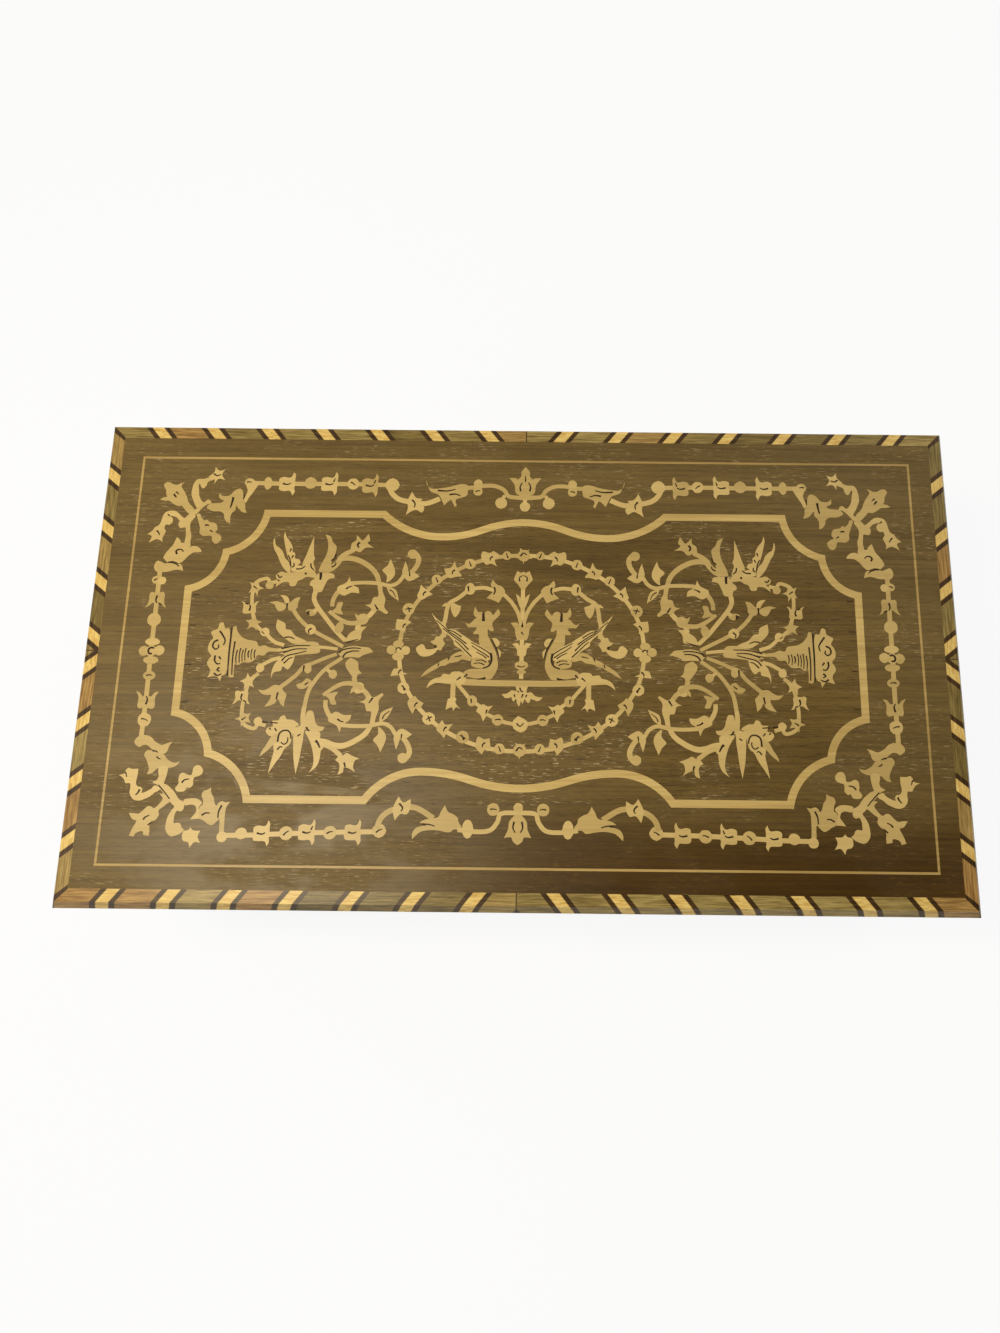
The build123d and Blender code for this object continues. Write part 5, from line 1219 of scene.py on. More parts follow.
engrave([(48.9, 1.6), (50.1, 2.5), (51.3, 1.6)], 0.6)

# Middle stem, heart scroll and palmette of the medallion
heart = "medallion_stems"
stem(heart, [(0, -10), (0, 10), (0, 28)], 1.7, twin=False)
middle_shape(heart, [
    (0, 27.2), (-1.8, 29.4), (-3.9, 31.8, tip), (-3.5, 33.4), (-2.5, 35.8, tip), (-1, 35), (0, 35.4),
])
engrave([(-1.4, 31.2), (-1.6, 32.8), (-0.2, 33.8)], 0.6)
middle_shape(heart, [(0, 18.6), (-1.7, 21.5), (-2.9, 25.9, tip), (-1.1, 24.4), (0, 22.9)])
middle_shape(heart, [
    (0, 6.2), (-1.9, 6.3), (-2.7, 8.5), (-3.1, 11), (-4.8, 13.3, tip), (-2.5, 13.6), (-1, 12.2),
    (0, 11.4),
])
middle_shape(heart, [
    (0, -0.8), (-1.7, -0.1), (-2.1, 2.4), (-4, 4.5, tip), (-1.8, 4.9), (-0.7, 3.4), (0, 2.8),
])
bead(heart, 0, -4.4, 2.8, 1.8, twin=False, cut=False)
bead(heart, 0, -7.2, 1.9, 1, twin=False, cut=False)
engrave([(-1.7, -4.6), (0, -5.1), (1.7, -4.6)], 0.5, twin=False)
engrave([(-0.3, 9.6), (0.5, 8.4)], 0.6, twin=False)
stem(heart, [(0.3, 11.5), (1.6, 17), (4.5, 22), (8.2, 25.8)], 1.6)
shape(heart, [
    (7.4, 26.5), (8.6, 28.8), (10.6, 29.6), (12.6, 31.8, tip), (13.4, 29.6), (12.2, 27.6), (12.8, 26),
    (14.9, 24, tip), (12.6, 23.2), (10, 21.8, tip), (8.8, 23.8),
])
engrave([(11.9, 28.6), (11.5, 26.8), (12.2, 25.4)], 0.8)
stem(heart, [(12.2, 27.3), (16, 28.3), (20, 28)], 1.6)
bead(heart, 21.8, 27.7, 2.1, 2.6, cut=False)
engrave([(22.7, 28.9), (22.4, 26.6)], 0.8)
stem(heart, [(23, 26.8), (26.5, 23.8), (29.8, 21.8), (31, 19), (31.5, 15), (32.1, 12), (31.8, 7)], 1.7)
shape(heart, [
    (29.3, 22.4), (27.2, 21), (25.3, 20.4, tip), (25.8, 17.8), (27.6, 15.6), (29.2, 18), (29.6, 20.4),
])
leaf(heart, (30, 21.6), (33.4, 20), 1.5)
shape(heart, [
    (-1.8, -12.6), (-1.8, -14.2), (-2, -15.1), (-3.3, -14.6), (-4.4, -15.1), (-5.6, -16),
    (-7.6, -16.3, tip), (-6.8, -17.5), (-6, -18), (-4.4, -17.9), (-3.8, -17.6), (-3.3, -18.7),
    (-2.7, -19.5, tip), (-2, -18.4), (-1.6, -18.6), (-1.6, -19.8), (-0.6, -21.5, tip), (-0.2, -20.1),
    (0.1, -18.9), (0.3, -19.4), (0.7, -20.5, tip), (1.2, -19.1), (1.7, -18.4), (2.3, -19.1),
    (3, -20, tip), (3.8, -19.1), (4.1, -18.4), (5.6, -18.7), (7.2, -19.1), (8.8, -17.5, tip),
    (6.9, -17.4), (5.6, -16.9), (4.9, -16), (4, -15.4), (2.3, -15.5), (2.6, -13.9), (2.6, -12.6),
], twin=False)
for stroke in (
    [(-0.5, -13.6), (0.1, -15), (0.9, -15.3)], [(-1.4, -15), (-0.8, -15.5)], [(0.9, -16.3), (0.3, -17.8)],
    [(2.4, -16.6), (1.9, -17.6)], [(-2.6, -16.4), (-2.4, -17.6)],
):
    engrave(stroke, 0.6, 0.35, twin=False)

# Birds on their bar, drawn on the right half
bird = "birds"
stem(bird, [(0, -11.9), (12, -11.9), (26, -11.4)], 2.4, 2.6)
shape(bird, [
    (22.6, -8.6), (24.4, -7.3), (26.4, -7.1), (28, -7.5), (28.8, -8.4), (31.5, -8.2), (32.6, -9.5),
    (34.6, -10.1), (36.9, -11.4), (38.1, -14.2, tip), (35.6, -12.5), (33.3, -12), (28.5, -12.3),
    (23.5, -12.4), (22.4, -10.6),
])
stem(bird, [(27.3, -12), (27.3, -18.6)], 2)
shape(bird, [
    (25.9, -18.2), (26, -20), (24, -23, tip), (25.8, -21.9), (26.8, -23.4, tip), (27.6, -21.9),
    (29.9, -23, tip), (29.4, -19.9), (29, -18.4),
])
stem(bird, [(25.6, -12.4), (22.8, -15.6), (20, -18.8), (16, -21.6)], 1.5)
bead(bird, 19.5, -19.3, 2, 2.3, cut=False)
engrave([(19.9, -18.4), (19.7, -20.2)], 0.7)
shape(bird, [
    (11, -21.2, tip), (13.2, -21.4), (14.8, -20.4, tip), (16.4, -21.3), (17.6, -23.4), (16, -24.9),
    (15, -27.6, tip), (13.6, -25.4), (13, -23.6),
])
engrave([(13.4, -22.8), (13.8, -24.4)], 0.7)
stem(bird, [(14, -24.4), (10, -26.2), (7, -27.6), (2, -28.6), (0, -28.6)], 1.5)
bead(bird, 9, -26.9, 2.3)
shape(bird, [
    (-3, -27.5), (-1, -25.2, tip), (1.2, -26.2), (3.2, -27.8), (2.6, -30.6), (0.4, -31.9, tip),
    (-2.4, -30.4),
], twin=False)
engrave([(-1.4, -28.2), (0, -29.4), (1.4, -28)], 0.6, twin=False)
# head, neck and body in one, with two small breast feathers
shapes(bird, [
    (10.1, 19.4, tip), (9.1, 17.2), (10.4, 15.4), (12.2, 13.2), (11.5, 10.2), (12.9, 9.8), (13.9, 10.7),
    (14.1, 9.2), (13.8, 7.7), (13.1, 6.3), (11.6, 3.1), (10.4, 0.8), (9.7, -2.2), (9.5, -4.8), (10, -6.9),
    (11.1, -9), (12.8, -10.4), (18, -10.2), (20.4, -9.6), (22.4, -9.2), (23.6, -7.9), (22.4, -6.8),
    (20.3, -6.1), (18, -6), (14.8, -5.6), (13, -3.6), (12.9, -1), (14.4, 1.6), (16.6, 3.2), (17.5, 5.4),
    (17.6, 8.2), (19.2, 8.3), (20.2, 8.8, tip), (19.3, 9.8), (18.7, 11.1), (20.6, 11.3), (22, 11.5),
    (23.5, 13.3, tip), (21.9, 12.8), (20.6, 13.6), (19.6, 14.9), (18.6, 15.3), (19.7, 16.3), (20, 17.8),
    (19.4, 20.3, tip), (18.2, 18), (16.5, 17.8), (15.9, 16.8), (15.2, 18), (14.2, 18.3), (12.8, 17.8),
    (12.1, 16.6), (11.2, 17.6),
], [
    (12.5, 6.9, tip), (10.4, 6.8), (9.1, 5.4), (9.2, 4.1), (10.1, 3.2), (11.4, 4.8),
], [
    (9.9, 2.6, tip), (8.5, 1.2), (8.4, -0.3), (8.9, -1.4, tip), (9.5, 0.6),
])
# wing, with the long feathers over it
shapes(bird, [
    (12.3, 0.1), (14.2, 2), (16, 3.1), (18, 4.2), (20.3, 5.4), (22.4, 6.8), (24.4, 8.3), (26.4, 9.7),
    (28.5, 10.4), (30.3, 10.6), (31.5, 11.8), (32.8, 12.9), (35.1, 14.9), (37.3, 17.3, tip), (36.1, 15.1),
    (34.6, 13.1), (33.5, 11), (32.4, 9.8), (30.9, 8.6), (29.4, 7.4), (28, 5.6), (27.6, 4.1), (26.3, 2.9),
    (24.9, 2), (23.4, 0.7), (21.9, -0.5), (20.4, -1.8), (17.6, -2.4), (14.2, -2.6), (12.5, -1.6),
], [
    (13.2, -4.2), (13.6, -2.8), (15.2, -1.8), (18, -1.4), (19.8, -1.8), (20.4, -3), (20.1, -4.8),
    (18.3, -5.6), (15.7, -5.7), (14.4, -5.1),
], [
    (20.2, -1.8), (21.9, -0.4), (23.4, 0.8), (24.9, 1.2), (27, 0.2), (28.6, -0.7), (29.4, -1.6),
    (30.6, -1.9), (32.1, -2.7), (34.1, -4), (36.7, -5.5), (38.9, -7.3), (40.6, -9.7, tip), (38.7, -8.6),
    (35.9, -7.1), (34.1, -6.1), (32.8, -5.1), (30.8, -4.8), (29.2, -3.8), (27, -3.5), (25.6, -3),
    (24.2, -2.1), (22.1, -2.7), (20.6, -2.7),
])
engrave([(16.1, 17.6), (16, 16), (15.9, 14)], 0.8, 1.2)
engrave([(12.4, 6.4), (10.9, 3.6), (9.7, 0.9), (9.3, -1.4)], 0.55, 0.35)
engrave([(12.6, 0.6), (12.2, -1.6), (12.4, -3.4), (13.4, -4.9), (15.6, -5.8)], 1, 0.5)
for stroke in (
    [(12.2, -0.6), (13.4, 0.7), (16, 2.4), (18.3, 3.7), (20.6, 4.9)],
    [(13.2, -1.2), (15.2, 0.3), (17.8, 1.8), (20.3, 3.6)], [(14.2, -1.6), (16, -0.3), (18.4, 0.9)],
    [(20.3, -1), (23.4, 2), (25.7, 4.3), (27.3, 5.7)],
    [(21.6, 1.8), (24.6, 4.9), (28.5, 7.7), (32.4, 10.8)],
    [(22.6, 4.4), (26.4, 7.2), (29.5, 9.2), (32, 11.4), (35.2, 14.2)],
    [(24.6, 7.2), (28, 9.4), (30.6, 10.2)], [(14.2, -3.3), (16.2, -2.4), (18.6, -2.6)],
    [(15, -4.3), (17.2, -3.6), (19.4, -3.9)], [(24.4, -0.6), (27.2, -1.2)], [(29.2, -1.2), (29.8, -2.6)],
    [(33.4, -3.9), (33.8, -5.2)],
):
    engrave(stroke, 0.5, 0.3)
engrave([(14.4, -9.8), (16.2, -10.2), (18.2, -10.3)], 0.9, 0.3)
engrave([(21.8, -8.3), (23.1, -9.6)], 0.8)
engrave([(24.4, -9.5), (26, -10.8)], 0.7)
# the scroll that crosses the wing and ends in a flower and a curl
shapes(bird, [
    (31, 8.4), (31.2, 7.4), (32.1, 6.2), (31.3, 4.4), (32.3, 2.8), (32.6, 1.4, tip), (34.3, 1.9),
    (34.7, 3.6), (35.9, 4.1), (37.4, 5.2, tip), (35.9, 5.9), (35.1, 7.2), (33.6, 7.5), (32.8, 8.6),
], [
    (34, 2.6), (35.6, 2.1), (37.2, 1.8), (38.8, 2.1), (39.6, 3.6), (40.7, 4.1), (42.3, 3.2), (42.9, 1.8),
    (41.8, -0.4), (39.7, -1.2), (37.2, -0.7), (35.1, 0.6),
])
engrave([(35.3, 3.7), (35.2, 2.5)], 0.7)

# Side sprays: a fluted basket on its side with flowers along its rim
basket = "baskets"
shape(basket, [
    (-126.9, 8.3), (-124.2, 9.7), (-123.7, 12), (-122.1, 12.4), (-121.2, 9.8), (-119.6, 9.8),
    (-118.9, 6.5), (-118.8, -0.4), (-118.9, -7.7), (-119.8, -9.6), (-120.7, -9.9), (-121.2, -12.3, tip),
    (-122.4, -10.6), (-123.7, -10), (-126.6, -10.9, tip), (-125.6, -7.7), (-127.3, -5.2), (-126.7, -3.1),
    (-125.9, -1.7), (-127.2, -0.1), (-127.6, 2), (-126.9, 4.2), (-125.8, 5.8),
])
for curl in (
    [(-123.3, 8.7), (-121.7, 6.5), (-120.8, 4.7), (-121.3, 2.7)],
    [(-123.6, 4.9), (-125.2, 4), (-125.6, 2.2), (-124.4, 1), (-123.2, 1.8), (-123.4, 3)],
    [(-124.2, -1.6), (-124.3, -3.6), (-123.2, -5.1), (-121.9, -4.9)], [(-122.7, -2), (-121.8, -3.2)],
    [(-124.1, -9), (-122.6, -9.9), (-121, -9.2)], [(-122, -6.6), (-123, -7.6), (-121.8, -8.2)],
):
    engrave(curl, 0.75, 0.45)
shape(basket, [
    (-118.3, 10.4, tip), (-116.8, 11, tip), (-116.2, 8.8), (-114.3, 6.5), (-111.8, 5.1), (-108.1, 4.5),
    (-107, 2.6), (-104.5, 2.8), (-102.6, 1.9), (-98.6, 1.5), (-98.6, 0.2), (-102.6, 0.1), (-104.5, -1.3),
    (-107, -1.3), (-107.9, -3.1), (-110, -4.3), (-112.7, -4.3), (-114.6, -5.4), (-115.9, -5.2),
    (-116.1, -7.7), (-116, -10.6, tip), (-117.6, -10.8, tip), (-118.4, -7.7),
])
for x, high_end, low_end, width in (
    (-118.6, 10.2, -10, 0.6), (-116.9, 4.4, -9.6, 0.6), (-115.6, 0.8, -5, 0.5), (-114.3, 1.6, -4.6, 0.5),
    (-113.2, 1, -4, 0.45), (-112.1, 1.6, -3.6, 0.45), (-110.8, 0.6, -2.4, 0.6), (-109.6, 1.3, -3.2, 0.4),
    (-108.3, 1, -2.6, 0.5),
):
    engrave([
        (x + 0.15, high_end), (x - 0.2, (high_end + low_end) / 2), (x + 0.1, low_end),
    ], width, width * 0.7)

# The stems and leaves that fan out from the basket to the knot in front of the medallion
spray = "side_sprays"
for points, width, end_width in (
    ([(-99, 0.9), (-90, 2), (-82, 2.3), (-74.8, 1.6)], 1.3, 1.3),
    ([(-97.6, -2.2), (-101, -3.2), (-104.6, -5.2)], 1.5, 1.5),
    ([(-75, -0.5), (-80, -2.4), (-84.8, -4.6), (-87.9, -5.8), (-91, -9.6), (-97.2, -14.8)], 1.4, 1.7),
    ([(-72.6, -2), (-76, -4.4), (-79, -6.6), (-82.4, -10.6), (-85.4, -16), (-86.6, -23)], 1.5, 1.7),
    ([(-72.6, 2.6), (-78, 5.4), (-84.2, 8.6), (-88.8, 11.8), (-92.1, 15.2), (-94, 18)], 1.5, 1.7),
    ([(-71.9, 5.2), (-76, 9.2), (-80.1, 14.2), (-84.2, 19.4), (-85.9, 23), (-85.2, 27)], 1.7, 2),
    ([(-103.9, 7.2), (-100.8, 4.4), (-96.6, 3)], 1.5, 1.5),
):
    stem(spray, points, width, end_width)
shapes(spray, [
    (-98.2, 1.5, tip), (-94.6, 2.7), (-92.1, 3.4), (-87.9, 4.5), (-83.4, 4.4), (-82, 2.4, tip),
    (-87, 2.2), (-92.4, 1.8),
], [
    (-98.6, -0.6, tip), (-92.1, 1.1), (-87, 1.9), (-82, 1.9, tip), (-82.3, -0.2), (-88.4, -0.9),
    (-93, -1.6), (-96.4, -4.2, tip), (-96.2, -1.4),
], [
    (-92, -1.4, tip), (-92.6, -4.4), (-94.4, -7), (-96.6, -5.9), (-97.3, -7.7), (-99.9, -8.4),
    (-100.8, -11, tip), (-100.8, -8.2), (-99.9, -5), (-97.8, -2.4), (-95.3, -1.2),
], [
    (-100.3, 14, tip), (-97.1, 12.2), (-96.5, 9.8), (-94.4, 9.4), (-92.3, 7), (-89.3, 5.6),
    (-87.6, 4.7, tip), (-92.1, 3.5), (-95.3, 4.8), (-98.9, 7.8), (-100.4, 10.4),
])
for stroke in (
    [(-97.6, 1.5), (-92, 2.8), (-86, 2.9)], [(-96.8, -0.2), (-92, 1.4), (-87.2, 1.5)],
    [(-97.2, -3.6), (-95.2, -1.5), (-91, -0.4), (-87.4, 0.6)],
    [(-96.2, -4.6), (-94.2, -2.6), (-92.6, -2.2)], [(-96.8, 6.2), (-94.6, 6.4), (-92.6, 5.6)],
):
    engrave(stroke, 0.6, 0.35)
for x, y, across, up_across in (
    (-104.9, 8.4, 1.9, 1.9), (-105.6, -6.6, 1.7, 1.9), (-86.4, 9.8, 2.2, 2.2), (-86.3, -6.6, 1.6, 2.1),
    (-76, -8.9, 1.7, 1.9),
):
    bead(spray, x, y, across, up_across, cut=False)
engrave([(-86, 10.2), (-87.2, 9.2), (-86.8, 7.9)], 0.7)
engrave([(-87, -13.4), (-85.6, -12.2)], 0.6)
engrave([(-106.2, 8.6), (-105, 7.6)], 0.5)
shapes(spray, [
    (-76.4, 9), (-76.3, 11.6), (-73.9, 14.1, tip), (-72.8, 10.8), (-74.2, 8.2),
], [
    (-104.4, 21, tip), (-101.6, 21.5), (-99.7, 21.3), (-97.5, 20.3), (-97, 19), (-98.4, 17.7),
    (-100, 17.3), (-101.1, 18.7), (-102, 20.2),
], [
    (-99.9, 24.3, tip), (-97.8, 24.1), (-96.5, 23.1), (-95.9, 21.2), (-97.2, 20.6), (-98.7, 22.8),
], [
    (-91.4, 23.5, tip), (-93.6, 23.2), (-95.2, 21.5), (-96.4, 20.6), (-96.5, 19), (-95.5, 17.6),
    (-93.6, 17.8), (-92.3, 19), (-92.3, 20.9),
], [
    (-105.8, -15.6, tip), (-103.5, -15.8), (-101.6, -14.9), (-99.4, -13.7), (-96.6, -13.9),
    (-95.4, -15.8), (-94.2, -17.4), (-94.5, -19.6), (-94.8, -22.4, tip), (-96.2, -21.2), (-97.6, -19.2),
    (-98.4, -20.8), (-100.2, -21.9), (-102.6, -22.4, tip), (-100.8, -19.7), (-100.4, -17.7),
    (-101.6, -17.8), (-103.9, -17.4),
], [
    (-90.5, -13.2, tip), (-88.2, -12.3), (-86.6, -10.7), (-84.4, -11.9), (-85.5, -13.8), (-87.6, -15.2),
    (-89.4, -14.9),
], [
    (-89.2, 17.4, tip), (-88, 18.3), (-85.8, 18.2), (-84.4, 17), (-85.4, 15.6), (-87.2, 15.4),
    (-87.4, 16.8),
])
stem(spray, [(-85.8, 17.4), (-83.6, 18.6)], 1.6)
stem(spray, [(-78.9, -6.6), (-77, -8.2)], 1.4)
stem(spray, [(-87.9, -5.4), (-86.8, -6.4)], 1.8)
for stroke in (
    [(-96.7, 20.8), (-96.8, 18.4)], [(-97.6, -16.6), (-98.1, -19.4)],
    [(-87.4, 17.4), (-88.2, 16.8), (-87.4, 16)], [(-87.9, -5.4), (-88, -7.6)],
):
    engrave(stroke, 0.7, 0.5)
shapes(spray, [
    (-72, 4.7, tip), (-70.5, 7.9), (-68.2, 9.7), (-67.7, 11), (-63.4, 11.1, tip), (-65.4, 8.8),
    (-65.6, 6.5), (-66.3, 5.4), (-69, 4.9),
], [
    (-69.2, -1.9, tip), (-66.3, -3.6), (-65.8, -6.8), (-64.2, -8.3, tip), (-66, -9.4),
    (-66.2, -12.4, tip), (-68.4, -9.4), (-70.8, -6.2, tip), (-71.4, -4.2), (-70.2, -2.8),
], [
    (-74.6, -0.2, tip), (-72.3, 2), (-68.6, 3), (-65, 2.6), (-61.9, 2.2), (-60.2, 0.6, tip), (-64, -0.8),
    (-65.9, -1.8), (-69.1, -1.6), (-72.8, -2, tip),
])
engrave([(-74.2, -0.1), (-72.6, 1.3), (-68.6, 2.1), (-65.4, 1.9)], 0.6, 0.4)
engrave([(-72.6, -1.9), (-71.3, -0.1), (-68.6, 0.8), (-66, 0.8)], 0.7, 0.4)
engrave([(-71.6, 4.4), (-68.8, 5.2), (-66.8, 5.8)], 0.5)

# The winged blossom above, with its four long feathers and a trumpet flower
shapes(spray, [
    (-101.7, 33.6), (-100.3, 34.4), (-98.1, 34), (-92.8, 34.5), (-91, 35.2), (-89.6, 35.9), (-87.8, 35.4),
    (-85.8, 33.8), (-86.2, 31.9), (-89.6, 32.2), (-91.4, 31.1), (-93.1, 30.4), (-93.9, 28.5), (-95.3, 28),
    (-96.5, 28.5), (-96.9, 29.8), (-99.2, 29.8), (-100.6, 29), (-102, 27.8, tip), (-101.7, 29.6),
    (-100.3, 30.6), (-101.8, 31.2), (-102.4, 32.6),
], [
    (-104.2, 49.5, tip), (-103.5, 46.1), (-101.7, 44.7), (-100.3, 42.9), (-99.2, 40.4), (-97.1, 37.9),
    (-96.5, 34.2), (-97.9, 34.2), (-99.9, 36.5), (-101.4, 39), (-102.8, 41.9), (-104, 44.4),
    (-104.6, 47.4),
], [
    (-100, 52, tip), (-99.3, 49.7), (-97.7, 47.6), (-96.4, 45.1), (-96.3, 43.4), (-95.2, 42.3),
    (-95, 40.2), (-93.2, 39.8), (-92.7, 38.3), (-93.6, 37.3), (-91.5, 36.6), (-91, 34.8), (-96, 34.6),
    (-96.4, 37.2), (-97.8, 39.7), (-98.9, 43.3), (-99.8, 46.9), (-100.4, 50),
], [
    (-87.6, 50.2, tip), (-87.6, 46.9), (-87.4, 42.2), (-86.7, 40.3), (-87.3, 38.4), (-86.3, 34.6),
    (-90.4, 35.2), (-91.7, 36.5), (-91.4, 39), (-90.5, 41.5), (-89.6, 44.7),
], [
    (-83.1, 50.9, tip), (-80.8, 50), (-79.9, 47.6), (-78.1, 45.8), (-78.3, 43.3), (-78.9, 40.8),
    (-79.8, 38.8), (-80.4, 35), (-84.6, 34.4), (-83.9, 37.9), (-82.5, 40.8), (-81.7, 44.4), (-82, 47.9),
], [
    (-84.6, 34.1), (-80.3, 34.1), (-78.5, 33.4), (-77.9, 32, tip), (-80.3, 31.4), (-81.4, 29.6),
    (-82.3, 27.8), (-83.2, 25.8), (-86.2, 25.8), (-86.7, 27.9), (-88.1, 28.8), (-87.9, 30.3),
    (-86.6, 31.2), (-85.9, 32.6),
])
stem(spray, [
    (-82, 35), (-79.4, 36.2), (-77.2, 38.4), (-75.4, 40.4), (-70, 40.2), (-64.4, 37.4), (-60.8, 33.6),
    (-59.5, 29.6),
], 2.6, 2)
stem(spray, [(-76.8, 40), (-74.2, 42.4), (-70.6, 44.2)], 2.2, 1.8)
engrave([(-83.9, 34.2), (-83.8, 32.6), (-83.9, 31)], 1.2, 0.8)
engrave([(-90.5, 33.7), (-89.7, 33.6)], 0.9, 0.8)
for stroke in (
    [(-101.6, 33), (-100.8, 31.8), (-99.8, 32.4)], [(-96.7, 37), (-97, 39.4), (-98, 41.6)],
    [(-96, 36.4), (-95.2, 37), (-95.4, 38.2)], [(-96.9, 44.6), (-97.4, 43.2)],
    [(-95.8, 41.6), (-96.4, 40.4)], [(-94.2, 35.6), (-92, 35.8), (-90.6, 36.9)],
    [(-88.3, 38), (-88, 36.4), (-86.8, 35.2)], [(-79.9, 39.4), (-78.6, 40.6), (-78.2, 42.4)],
    [(-79.6, 36.6), (-78.2, 37.4), (-78, 38.6)],
):
    engrave(stroke, 0.6, 0.4)
shape(spray, [
    (-72, 43.4), (-71.8, 47), (-70, 48.6), (-69.9, 50.9, tip), (-68.2, 49.2), (-67.2, 48.6),
    (-65, 51.4, tip), (-64.4, 48.6), (-65.2, 47.2), (-62.6, 45.2, tip), (-66, 45.3), (-68.2, 43.4),
    (-70, 43.8),
])
engrave([(-68.6, 47.6), (-69.4, 46.4), (-68.8, 45.2)], 0.9, 0.6)

# The winged blossom below
shapes(spray, [
    (-98.9, -28.4), (-96.5, -28), (-95.8, -26.4), (-94.2, -26), (-93.1, -27.4), (-91, -27.8),
    (-88.9, -28.8), (-88.1, -29.8, tip), (-89.4, -30.7), (-90.2, -33.8), (-91, -37), (-92.8, -38.6),
    (-96, -37.7), (-97.4, -35.6), (-98.9, -34.5), (-100, -34.1), (-101.1, -32.4), (-100.3, -30.8),
    (-98.6, -30.4),
], [
    (-96.7, -33.2), (-96.2, -36.3), (-98.1, -38.1), (-99.9, -40.2), (-101.7, -41.6), (-102.9, -42.6, tip),
    (-102.1, -40.6), (-100.6, -38.1), (-99.2, -35.2),
], [
    (-97.4, -37.2), (-97.4, -40.6), (-98, -44.1), (-98.9, -49.4, tip), (-96.7, -45.6), (-94.6, -42.4),
    (-93.5, -39.9), (-92.8, -37.8),
], [
    (-90.2, -31.4), (-90.1, -34.1), (-89.8, -38.4), (-89.2, -43.4), (-88, -49.4, tip), (-87.1, -44.1),
    (-86.5, -39.1), (-86, -35.6), (-86.1, -33), (-85.6, -30.2), (-88, -30.2),
], [
    (-85.4, -32.2), (-84.2, -34.9), (-82.8, -37.4), (-81.8, -40.9), (-81.4, -44.1), (-81.7, -46.6),
    (-83, -48.7, tip), (-80.2, -46.6), (-79.1, -43.4), (-78.8, -40.2), (-77.9, -38.6), (-79.2, -35.6),
    (-79.2, -33.8), (-80.2, -32.4),
], [
    (-86, -28.6), (-85.3, -24.3), (-83.1, -24.1), (-82.3, -26.3), (-81.7, -28.4), (-80.3, -30),
    (-78, -30.4, tip), (-78.6, -31.8), (-81, -32.4), (-83.9, -31.8), (-86, -31.2),
])
stem(spray, [(-86.6, -22.4), (-86.8, -26), (-86.4, -30)], 1.8, 2.2)
stem(spray, [
    (-81, -36.2), (-77.2, -36.6), (-73.6, -37.8), (-69.6, -37.8), (-64.6, -35.4), (-61.2, -32.6),
    (-59.6, -29.6),
], 2.6, 2)
stem(spray, [(-78, -37.6), (-74.4, -39), (-70.6, -42)], 1.7, 1.9)
engrave([
    (-96.1, -36.6), (-95.8, -33.6), (-94.4, -32.2), (-92.4, -32.1), (-91.2, -33.4), (-90.9, -35.4),
], 0.7, 0.5)
engrave([(-94.8, -36.8), (-93.4, -37.6), (-92.2, -36.4), (-92.2, -34.8)], 0.5, 0.4)
engrave([(-81.1, -36), (-80.2, -36.9), (-79.2, -38.8)], 1.1, 0.5)
engrave([(-85.2, -30.6), (-84.8, -31.2), (-84, -32.2)], 0.8, 0.5)
for stroke in (
    [(-99.8, -31), (-99.3, -31.8)], [(-97.7, -31.2), (-96.8, -32.4)], [(-99.6, -28.9), (-96.6, -29.1)],
    [(-96, -39.8), (-95, -38.6), (-94, -38.8)], [(-88.4, -34.2), (-87.2, -33.4)],
    [(-102.8, -28.6), (-100.6, -28.8)],
):
    engrave(stroke, 0.6, 0.4)
shape(spray, [
    (-72.8, -43.6, tip), (-71.2, -41.8), (-69.8, -41.6), (-68.2, -40.8), (-66.4, -41.8),
    (-63.2, -43, tip), (-65, -43.8), (-65.6, -46.4), (-64.6, -48.4, tip), (-66.8, -47.2), (-68.4, -46.6),
    (-69.2, -46.8), (-69.4, -48.4), (-71.4, -49.4, tip), (-70.9, -46.8), (-71.2, -45),
])
engrave([(-69.2, -44.6), (-68.6, -46.4)], 0.8, 0.5)

# The scrolls with their inner curls, the tendrils and the outer garlands, alike above and below
def mirrored(points):
    """Points of the upper half, or their mirror images below where mirror_y is -1."""
    return [(p[0], p[1] * mirror_y) + tuple(p[2:]) for p in points]


